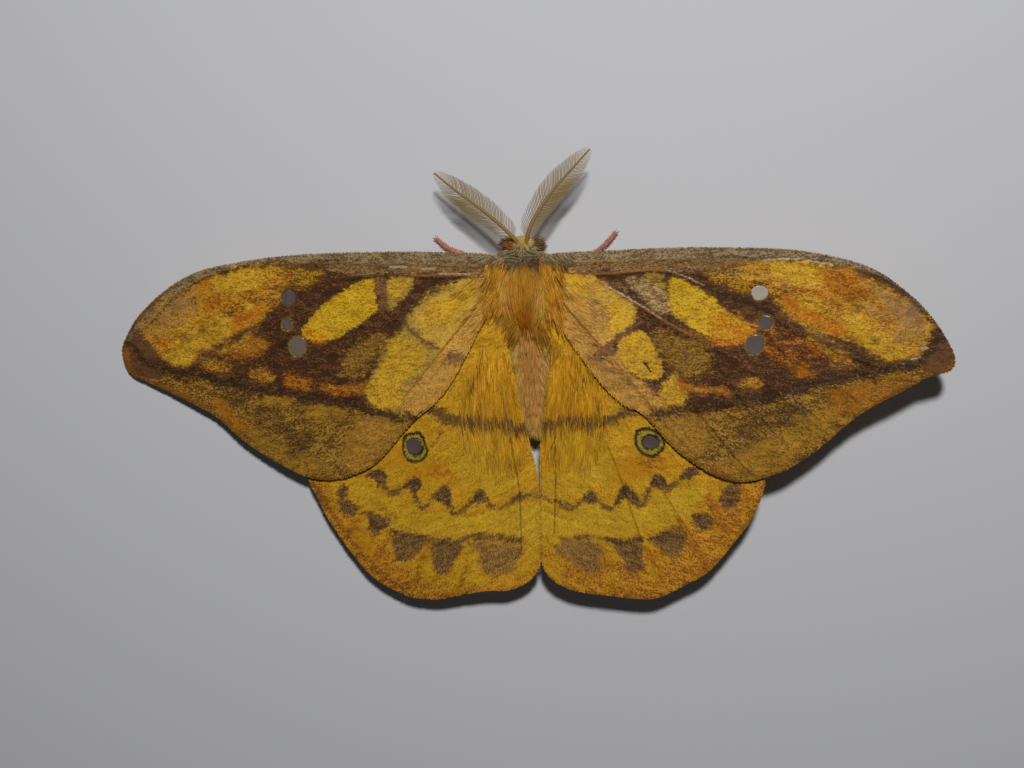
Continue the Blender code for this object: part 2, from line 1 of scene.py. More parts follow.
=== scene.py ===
# %% [markdown]
# # A silk moth at rest
#
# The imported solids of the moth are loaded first. They are the frame that every finer piece is built
# around. Sizes are written in millimetres and turned into metres as a mesh is made: +Y points to the
# head, +X to the moth's right-hand wing, and the moth stands on its feet at Z = 0.

# %% Load the frame
import math

import bpy
import numpy as np
from mathutils import Matrix, Vector
from mathutils.geometry import delaunay_2d_cdt


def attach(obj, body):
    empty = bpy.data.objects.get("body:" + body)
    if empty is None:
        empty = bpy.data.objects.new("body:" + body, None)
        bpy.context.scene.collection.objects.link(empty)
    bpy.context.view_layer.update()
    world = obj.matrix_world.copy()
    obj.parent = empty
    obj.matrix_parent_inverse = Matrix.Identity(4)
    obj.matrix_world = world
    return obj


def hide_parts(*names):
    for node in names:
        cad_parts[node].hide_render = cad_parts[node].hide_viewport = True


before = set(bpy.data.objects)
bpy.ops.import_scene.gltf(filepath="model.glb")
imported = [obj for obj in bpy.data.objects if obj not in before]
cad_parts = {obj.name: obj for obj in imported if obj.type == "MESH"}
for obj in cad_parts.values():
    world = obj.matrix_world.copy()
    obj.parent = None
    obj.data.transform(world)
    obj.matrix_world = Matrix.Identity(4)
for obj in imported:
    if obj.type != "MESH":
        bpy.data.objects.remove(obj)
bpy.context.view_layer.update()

MM = 0.001
scene = bpy.context.scene
scene.view_settings.view_transform = "Standard"

# %% [markdown]
# ## Camera
#
# The photo looks down on the moth from about 200 mm away, tilted a little to its right and its front.
# A camera could be turned by eye until the picture fits. Here it is a direction and a distance from
# the point that it looks at, because the same numbers then turn a point of the picture into a place
# on a wing: each mark of the pattern is written where it is seen, and still belongs to the wing.

# %% Camera
PICTURE = (1024, 768)
FOCAL = 1400.0                              # focal length in pixels of the picture
SENSOR_WIDTH = 36.0
LOOK_AT = np.array((-0.9, -0.1, 8.0))
CAMERA_DISTANCE = 201.6
backward = np.array((0.079, 0.173, 0.98175))
backward /= np.linalg.norm(backward)
rightward = np.cross((0.0, 1.0, 0.0), backward)
rightward /= np.linalg.norm(rightward)
upward = np.cross(backward, rightward)
camera_place = LOOK_AT + backward * CAMERA_DISTANCE

lens = bpy.data.cameras.new("camera")
lens.sensor_width = SENSOR_WIDTH
lens.lens = FOCAL * SENSOR_WIDTH / PICTURE[0]
lens.clip_start, lens.clip_end = 0.005, 5.0
camera = bpy.data.objects.new("camera", lens)
camera.matrix_world = Matrix([(*row, place * MM) for row, place in
                              zip(np.stack([rightward, upward, backward], 1).tolist(), camera_place)]
                             + [(0, 0, 0, 1)])
scene.collection.objects.link(camera)
scene.camera = camera


def at_level(points, level):
    """Where points of the picture lie at a height above the floor."""
    across, down = ((np.asarray(points, float) - np.array(PICTURE) / 2) / FOCAL).T
    lines = across[:, None] * rightward - down[:, None] * upward - backward
    return camera_place + lines * ((level - camera_place[2]) / lines[:, 2])[:, None]


print("camera with a", round(lens.lens, 1), "mm lens at", camera_place.round(1), "mm")

# %% [markdown]
# ## Floor and light
#
# The floor is plain and pale. The photo's light comes from above the frame of the picture, and its
# shadows fall a short way towards the lower edge. A small area lamp there gives those shadows, and
# a wide lamp overhead and the sky fill them. Area lamps were chosen because their size sets how soft
# a shadow's edge is.

# %% Floor and light
FLOOR_SIZE = 1200.0
FLOOR_COLOUR = (0.74, 0.74, 0.76)
KEY_PLACE, KEY_SIZE, KEY_POWER = (30.0, 150.0, 300.0), 24.0, 0.69
FILL_PLACE, FILL_SIZE, FILL_POWER = (-60.0, -40.0, 420.0), 400.0, 0.02
SKY_COLOUR, SKY_STRENGTH = (0.80, 0.88, 1.0), 0.022


def shader_of(name):
    """A new material's own nodes, links and main shader."""
    made = bpy.data.materials.new(name)
    made.use_nodes = True
    nodes = made.node_tree.nodes
    return made, nodes, made.node_tree.links, nodes["Principled BSDF"]


def lamp(name, place, size, power, target):
    """A square area lamp that points at a target."""
    light = bpy.data.lights.new(name, "AREA")
    light.size = size * MM
    light.energy = power
    obj = bpy.data.objects.new(name, light)
    obj.location = Vector(place) * MM
    obj.rotation_euler = (Vector(target) - Vector(place)).to_track_quat("-Z", "Y").to_euler()
    scene.collection.objects.link(obj)
    return obj


half = FLOOR_SIZE * MM / 2
floor_mesh = bpy.data.meshes.new("floor")
floor_mesh.from_pydata([(-half, -half, 0), (half, -half, 0), (half, half, 0), (-half, half, 0)], [],
                       [(0, 1, 2, 3)])
floor = bpy.data.objects.new("floor", floor_mesh)
scene.collection.objects.link(floor)
floor_finish, nodes, links, shader = shader_of("pale_floor")
shader.inputs["Base Color"].default_value = (*FLOOR_COLOUR, 1)
shader.inputs["Roughness"].default_value = 0.9
shader.inputs["Specular IOR Level"].default_value = 0.1
floor_mesh.materials.append(floor_finish)
lamp("key_lamp", KEY_PLACE, KEY_SIZE, KEY_POWER, (0, 0, 5))
lamp("fill_lamp", FILL_PLACE, FILL_SIZE, FILL_POWER, (0, 0, 0))
sky = bpy.data.worlds.new("sky")
sky.use_nodes = True
sky.node_tree.nodes["Background"].inputs["Color"].default_value = (*SKY_COLOUR, 1)
sky.node_tree.nodes["Background"].inputs["Strength"].default_value = SKY_STRENGTH
scene.world = sky
print("floor and two lamps in place")

# %% [markdown]
# ## Meshes, curves and noise
#
# Every piece is made from points in millimetres. Curves run smoothly through a few named points, and
# the same uneven noise frays the edges of the marks on skin and scales alike, so the two agree.

# %% Helpers for meshes, curves and noise
def mesh_piece(name, points, faces, finish=None, smooth=True):
    """A mesh object from points in millimetres."""
    mesh = bpy.data.meshes.new(name)
    mesh.from_pydata((np.asarray(points, float) * MM).tolist(), [], faces)
    mesh.validate()
    if smooth:
        mesh.shade_smooth()
    if finish:
        mesh.materials.append(finish)
    obj = bpy.data.objects.new(name, mesh)
    scene.collection.objects.link(obj)
    return obj


def hand_over(obj, slot, *nodes):
    """Fix a finished piece to the moth, in place of the solids that it stands for."""
    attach(obj, "root")
    if nodes:
        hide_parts(*nodes)
    print(obj.name, "has", sum(len(p.vertices) - 2 for p in obj.data.polygons), "triangles")


def give(mesh, name, values, kind="FLOAT_VECTOR"):
    """Store one value for each point of a mesh."""
    layer = mesh.attributes.new(name, kind, "POINT")
    field = {"FLOAT": "value", "FLOAT_VECTOR": "vector", "FLOAT_COLOR": "color"}[kind]
    if kind == "FLOAT_COLOR":
        values = np.hstack([values, np.ones((len(values), 1))])
    layer.data.foreach_set(field, np.asarray(values, np.float32).ravel())


def points_in(text):
    """Points from text, where commas join a point's numbers and spaces part the points."""
    return [tuple(float(number) for number in word.split(",")) for word in text.split()]


def unit(rows):
    """Directions of length one."""
    return rows / np.linalg.norm(rows, axis=1)[:, None]


def smooth_line(points, spacing, closed=False):
    """Points about one spacing apart on a smooth curve through the given ones."""
    known = [np.array(p, float) for p in points]
    count = len(known)
    line = []
    for i in range(count if closed else count - 1):
        before = known[i - 1] if closed or i else known[0] * 2 - known[1]
        here, after = known[i], known[(i + 1) % count]
        last = known[-1] * 2 - known[-2]
        beyond = known[(i + 2) % count] if closed or i + 2 < count else last
        steps = max(1, round(np.linalg.norm((after - here)[:3]) / spacing))
        for step in range(steps):
            t = step / steps
            line.append(0.5 * (2 * here + (after - before) * t
                               + (2 * before - 5 * here + 4 * after - beyond) * t * t
                               + (3 * here - before - 3 * after + beyond) * t ** 3))
    if not closed:
        line.append(known[-1])
    return np.array(line)


def gap_to(line, points, closed=False):
    """Distance from each point to a line."""
    a = line if closed else line[:-1]
    b = np.roll(line, -1, axis=0) if closed else line[1:]
    best = np.full(len(points), 1e9)
    for start, end in zip(a, b):
        run = end - start
        t = np.clip((points - start) @ run / max(run @ run, 1e-12), 0, 1)
        np.minimum(best, np.hypot(*(start + t[:, None] * run - points).T), out=best)
    return best


def inside(outline, points):
    """Which points are inside a closed outline."""
    crossed = np.zeros(len(points), bool)
    for a, b in zip(outline, np.roll(outline, -1, axis=0)):
        if a[1] != b[1]:
            between = (a[1] > points[:, 1]) != (b[1] > points[:, 1])
            edge = a[0] + (points[:, 1] - a[1]) / (b[1] - a[1]) * (b[0] - a[0])
            crossed ^= between & (points[:, 0] < edge)
    return crossed


def noise(points, scale, seed=0):
    """Smooth uneven values from -1 to 1, with bumps about one over the scale wide."""
    spots = np.asarray(points, float)[:, :2] * scale + seed * 17.3
    cell = np.floor(spots).astype(np.int64)
    t = spots - cell
    t = t * t * (3 - 2 * t)

    def corner(dx, dy):
        h = (cell[:, 0] + dx) * 374761393 + (cell[:, 1] + dy) * 668265263 + seed * 974711
        h = ((h ^ (h >> 13)) * 1274126177) & 0xFFFFFFFF
        return ((h ^ (h >> 16)) & 0xFFFF) / 32767.5 - 1

    low = corner(0, 0) * (1 - t[:, 0]) + corner(1, 0) * t[:, 0]
    high = corner(0, 1) * (1 - t[:, 0]) + corner(1, 1) * t[:, 0]
    return low * (1 - t[:, 1]) + high * t[:, 1]


def ease(values, low, high):
    """0 below low, 1 above high, and smooth between them."""
    t = np.clip((values - low) / (high - low), 0, 1)
    return t * t * (3 - 2 * t)


print("helpers ready")

# %% [markdown]
# ## Wing shapes
#
# A wing is a thin membrane stretched between stiff veins, and covered with scales on both faces. It
# could be one flat plane with a picture on it. Here each wing is a closed sheet of fine triangles
# that follows the solid's outline and droop, with raised veins, a membrane that sags a little
# between them, and real holes where the clear windows are.

# %% Wing sizes and outlines
WING_ROOT_LEVEL = 11.0      # underside of the solid forewing at the thorax
HINDWING_DROP = 1.15
TIP_DROP = {"left": 9.0, "right": -0.5}
REAR_DROP = {"left": 1.2, "right": 1.0}
WING_REACH, ROOT_REACH = 56.0, 4.0
WING_FRONT_Y, WING_CHORD = 16.4, 30.0
TIP_BEND, REAR_BEND = 1.1, 1.5
SKIN_LEVEL = 0.40           # top of the sheet above the solid's underside
SHEET_THICK = 0.14
VEIN_HEIGHT, VEIN_WIDTH = 0.13, 0.26
SAG_DEPTH, SAG_WIDTH = 0.14, 1.6
LATTICE = 0.23

OUTLINES = {
    "forewing_right": (
        "1.6,17.2 4.6,18.75 14.7,19.4 23.1,19.8 31.4,19.8 37.6,19.6 43,18.8 47.2,17.7 50.5,16.1 "
        "53.9,13.6 56.5,11.1 58.7,8.2 60.1,5.7 60.4,4.4 59.9,3.3 58.2,2.8 56.2,2 53,0 48.9,-2.3 "
        "45.7,-5 42.5,-8.1 39.2,-10.6 36.7,-11.9 33.3,-13 30.7,-13.1 28.1,-12.2 25.5,-10.7 "
        "23.3,-9.1 21.1,-7 19.4,-5 17.6,-3.3 15.2,-2.2 13.2,-0.4 11.2,1.8 7.3,7.2 4.9,10.9 "
        "2.2,12.6"),
    "forewing_left": (
        "-0.8,17 -3.6,18.6 -9.4,18.8 -16.7,18.8 -27,18.4 -35.3,17.7 -42.1,16.6 -46.8,15.5 "
        "-50.1,14.1 -53.3,12.1 -56,9.8 -58.1,7.6 -59.7,5 -60.4,3.5 -60.4,2.1 -59.9,0.5 "
        "-58.9,-0.6 -57.2,-1.2 -52,-3.3 -46.9,-5.6 -44.5,-7.2 -42,-9.4 -39.8,-10.9 -36.5,-12.7 "
        "-31.8,-14.8 -27.5,-15 -24.1,-13.9 -21.2,-12.2 -18.9,-9.8 -16.5,-6.9 -14.4,-4.7 "
        "-12.2,-2.9 -9.5,0.5 -7.1,4.9 -5.2,8.6 -3.6,11.6 -1.2,12.6"),
    "hindwing_right": (
        "1.8,11.6 8,9.4 17,4.4 26,-2.6 32.5,-9.4 35.1,-13.1 35,-15.1 34.4,-17.1 33.3,-19.6 "
        "31.7,-21.9 29.9,-24.5 28.3,-26.5 26.5,-28.1 24.3,-29.4 22.2,-30.6 20.4,-31.4 18.4,-31.7 "
        "13.3,-31.3 8.9,-30.8 6.9,-30.1 5.2,-29.1 4.1,-27.7 3.6,-26.2 3.5,-24.4 3.45,-16.9 "
        "3.4,-11.8 3.5,-7.6 3.9,-4.9 4.5,-0.5 5,3.8 4.9,6.6 3.6,8.8 2.2,9.4"),
    "hindwing_left": (
        "-0.6,11.6 -6,9.6 -14,4.6 -22.5,-2.4 -29.2,-9.8 -31.8,-14 -31.5,-16.1 -30.3,-18.4 "
        "-29.1,-21 -27.4,-23.7 -25.6,-26.2 -23.9,-28.5 -22.4,-30 -20.6,-31.3 -18.3,-32.4 "
        "-16,-33.1 -13.2,-33.2 -11,-32.9 -7.1,-31.7 -4.3,-31.2 -1.8,-31.1 0.1,-30.4 1.7,-29.3 "
        "2.8,-27.9 3.15,-26.4 3.15,-24.5 3,-16.9 2.7,-12.9 2.1,-10.4 1.4,-7.7 0.2,-2.5 -0.7,2.3 "
        "-1.6,6.2 -1.5,8.8 -0.6,9.4"),
}
FOREWING_VEINS = (
    "5,17.4 20,18.3 31,18.7 40,17.8 46.5,15.9",
    "5,16.6 12.1,16.2 20.2,16.7 27,15.9 34,15.2 41,12.6 50,7.6 57.6,3.9",
    "11.1,15.3 15.8,12.6 20.5,9.7 26,6.8 31,4.2 37.6,-1 43.3,-5.8",
    "34,15.2 35.4,10.8 43,6.4 54.6,2.2",
    "35.4,10.8 35.2,7.4 42,2.4 48.3,-1.4",
    "26,6.8 32.6,-2.6 38,-10.2",
    "20.5,9.7 25,-1.6 30,-8.1 32.9,-11.9",
    "5.2,13.9 9,9.2 16,1 22.5,-6.4 28.2,-11.2",
)
HINDWING_VEINS = (
    "5,9.6 16,2.6 25,-6 33.6,-15.6",
    "5,8.8 13,1 21,-8 27.2,-16.4 31,-22.2",
    "13,1 18,-10 22.6,-18 27.2,-26.2",
    "5,7.8 10,-1.5 14.5,-12.3 17.8,-21.7 21,-29.8",
    "6.6,3.4 9.2,-8 11.6,-19 13.6,-30.2",
    "5.9,3.4 5.9,-10.1 6,-16.8 6.2,-28.2",
)
# A right wing's places moved to the left one: x and y there from x, y and 1 here
TO_LEFT = {"forewing": ((-1.0572, -0.0831, 3.581), (-0.0427, 1.0103, -0.341)),
           "hindwing": ((-1.0577, -0.1006, 4.408), (-0.1048, 0.9972, 0.347))}
WINGS = ("forewing_right", "forewing_left", "hindwing_right", "hindwing_left")


def kind_of(wing):
    """Forewing or hindwing."""
    return wing.split("_")[0]


def skin_level(wing, x, y):
    """Height of the top of a wing's sheet, without its veins."""
    side = wing.split("_")[1]
    reach = np.maximum(0, (np.abs(x) - ROOT_REACH) / WING_REACH) ** TIP_BEND
    rear = np.maximum(0, (WING_FRONT_Y - y) / WING_CHORD) ** REAR_BEND
    under = WING_ROOT_LEVEL - TIP_DROP[side] * reach - REAR_DROP[side] * rear
    return under - HINDWING_DROP * wing.startswith("hind") + SKIN_LEVEL


def on_wing(wing, points):
    """Points of the picture moved on to a wing: their x and y."""
    level = np.full(len(points), WING_ROOT_LEVEL)
    for _ in range(12):
        spots = at_level(points, level)
        level = skin_level(wing, spots[:, 0], spots[:, 1])
    return spots[:, :2]


def veins_of(wing):
    """A wing's main veins as smooth lines."""
    veins = [points_in(v) for v in (FOREWING_VEINS if wing.startswith("fore") else HINDWING_VEINS)]
    if wing.endswith("left"):
        change = np.array(TO_LEFT[kind_of(wing)])
        veins = [np.hstack([vein, np.ones((len(vein), 1))]) @ change.T for vein in veins]
    return [smooth_line(vein, 1.0) for vein in veins]


outlines = {wing: smooth_line(points_in(OUTLINES[wing]), 0.25, closed=True) for wing in WINGS}
veins = {wing: veins_of(wing) for wing in WINGS}
print({wing: len(outlines[wing]) for wing in WINGS}, "points on the outlines")

# %% [markdown]
# ## Windows
#
# Each forewing has three clear windows without scales, and each hindwing has one in the middle of
# its eye spot. They are cut as real holes, and a thin clear membrane is set in each, so they look
# clear from every side and over any ground.

# %% Windows
WINDOWS = {
    "forewing_left": (
        "280.4,296.5 284.5,291.2 290.5,290.4 295.2,294.5 294.6,301 290,305.4 284,304",
        "282.2,324.6 284.6,319.6 289.6,318.6 292.6,322.6 291.6,328.4 287.2,330.4 283.4,329",
        "290,343 294.5,337.6 301,337 305.3,341.5 305.2,349.5 301,355.6 294.6,356 290.4,350.5",
    ),
    "forewing_right": (
        "750.9,291.6 755.4,286.3 762.6,286 767.8,289.4 767.6,295.6 762,300 754.8,299.6",
        "758.4,320.6 762.6,316.2 769,316 772.6,320.4 771.8,326.4 766.6,329.6 760.6,328",
        "746.2,341.2 751,335.8 758.6,334.6 763.6,338.6 763.2,347 757.6,353.6 750.2,354.2 "
        "746.2,348.8",
    ),
    "hindwing_left": (
        "406.6,443 411.6,438.6 418.6,439.8 421.8,445 420.2,451.4 414.6,454.8 408.4,451.6",
    ),
    "hindwing_right": (
        "642.2,441 646.4,436.6 653.2,436.8 658.6,440.8 658.2,445.6 652.4,448.2 645.4,447.4",
    ),
}
windows = {wing: [smooth_line(on_wing(wing, points_in(ring)), 0.22, closed=True)
                  for ring in WINDOWS[wing]] for wing in WINGS}
print(sum(len(rings) for rings in windows.values()), "windows")

# %% [markdown]
# ## Pigments
#
# A wing scale has one plain colour, and a wing's colour is a mixture of scales. So each pigment here
# is a main colour, a second colour, and the share of scales that have the second one. The colours
# are written as they look under the photo's lamp, and are turned into what the scale itself
# reflects.

# %% Pigments
LAMP_LEVEL = 0.56           # what a white surface reflects under the photo's lamp


def own_colour(seen):
    """The colour of a surface itself from how it looks in the photo, in steps of 0 to 255."""
    share = np.asarray(seen, float) / 255
    linear = np.where(share < 0.04045, share / 12.92, ((share + 0.055) / 1.055) ** 2.4)
    return np.clip(linear / LAMP_LEVEL, 0, 0.95)


PIGMENTS = {
    "umber": ((58, 35, 20), (98, 64, 32), 0.26),
    "olive": ((86, 58, 23), (146, 108, 36), 0.42),
    "pink_ochre": ((158, 114, 38), (116, 80, 32), 0.42),
    "ochre": ((148, 108, 30), (100, 70, 28), 0.38),
    "deep_olive": ((70, 48, 23), (116, 84, 32), 0.36),
    "olive_gold": ((100, 70, 28), (142, 106, 34), 0.45),
    "rust_red": ((124, 62, 18), (164, 106, 28), 0.42),
    "gold_fleck": ((168, 120, 34), (100, 60, 22), 0.45),
    "gold_on_dark": ((160, 118, 24), (88, 56, 20), 0.50),
    "rust_gold": ((158, 100, 18), (124, 66, 16), 0.45),
    "red_orange": ((152, 80, 16), (178, 122, 28), 0.35),
    "oval_yellow": ((184, 148, 28), (150, 104, 22), 0.36),
    "oval_orange": ((174, 112, 14), (150, 84, 14), 0.42),
    "bright_yellow": ((182, 142, 36), (146, 100, 28), 0.34),
    "dull_yellow": ((154, 124, 46), (124, 94, 42), 0.40),
    "pale_yellow": ((178, 140, 52), (152, 112, 46), 0.32),
    "apex_yellow": ((172, 126, 32), (128, 84, 28), 0.40),
    "block_yellow": ((178, 138, 36), (142, 98, 30), 0.36),
    "tan": ((164, 122, 50), (126, 84, 40), 0.45),
    "pink_tan": ((150, 110, 58), (126, 88, 50), 0.42),
    "peach": ((180, 136, 58), (148, 102, 46), 0.38),
    "scratch": ((164, 134, 88), (118, 88, 50), 0.45),
    "costal_grey": ((132, 112, 78), (86, 66, 42), 0.50),
    "costal_brown": ((98, 72, 42), (136, 104, 62), 0.42),
    "charcoal": ((48, 32, 20), (80, 56, 30), 0.25),
    "tip_brown": ((96, 65, 38), (76, 50, 30), 0.40),
    "antemedial": ((92, 60, 38), (124, 88, 50), 0.30),
    "purple_brown": ((108, 74, 46), (140, 102, 52), 0.40),
    "plum": ((112, 80, 62), (138, 104, 74), 0.40),
    "white_scrape": ((196, 182, 156), (168, 142, 104), 0.35),
    "vein_brown": ((132, 84, 32), (104, 66, 30), 0.30),
    # The next pigment paints a highlight: the shine that runs along some veins near the wing roots.
    "vein_shine": ((196, 176, 146), (150, 118, 78), 0.50),
    "edge_brown": ((122, 76, 26), (94, 58, 24), 0.35),
    "window_ring": ((140, 122, 34), (88, 66, 26), 0.40),
    "ring_yellow": ((140, 124, 34), (112, 96, 30), 0.20),
    "ring_black": ((44, 32, 18), (66, 50, 26), 0.20),
    "gold": ((176, 133, 28), (152, 106, 22), 0.38),
    "bright_gold": ((174, 138, 32), (154, 112, 26), 0.34),
    "wedge": ((70, 47, 28), (118, 86, 46), 0.34),
    "fringe_brown": ((80, 55, 30), (126, 92, 48), 0.42),
    "hind_brown": ((84, 57, 28), (112, 80, 36), 0.34),
    "hind_red": ((168, 106, 14), (160, 122, 20), 0.40),
    "pink_brown": ((102, 68, 34), (142, 106, 52), 0.45),
    "hind_orange": ((172, 120, 30), (122, 72, 24), 0.45),
    "hind_rust": ((116, 64, 18), (148, 94, 24), 0.38),
}
print(len(PIGMENTS), "pigments")

# %% [markdown]
# ## Marks of the wings
#
# Each wing has its own list, as the two sides of a real moth differ too. A mark is one row of text:
# patch or line, its pigment, the width of its soft edge in millimetres, how fully it covers, for a
# line also half its width, and then its points in the picture. The marks are laid over one another
# in order, as a painter would. A repeated image could not follow the wing's droop, and would carry
# the photo's own light and shade.

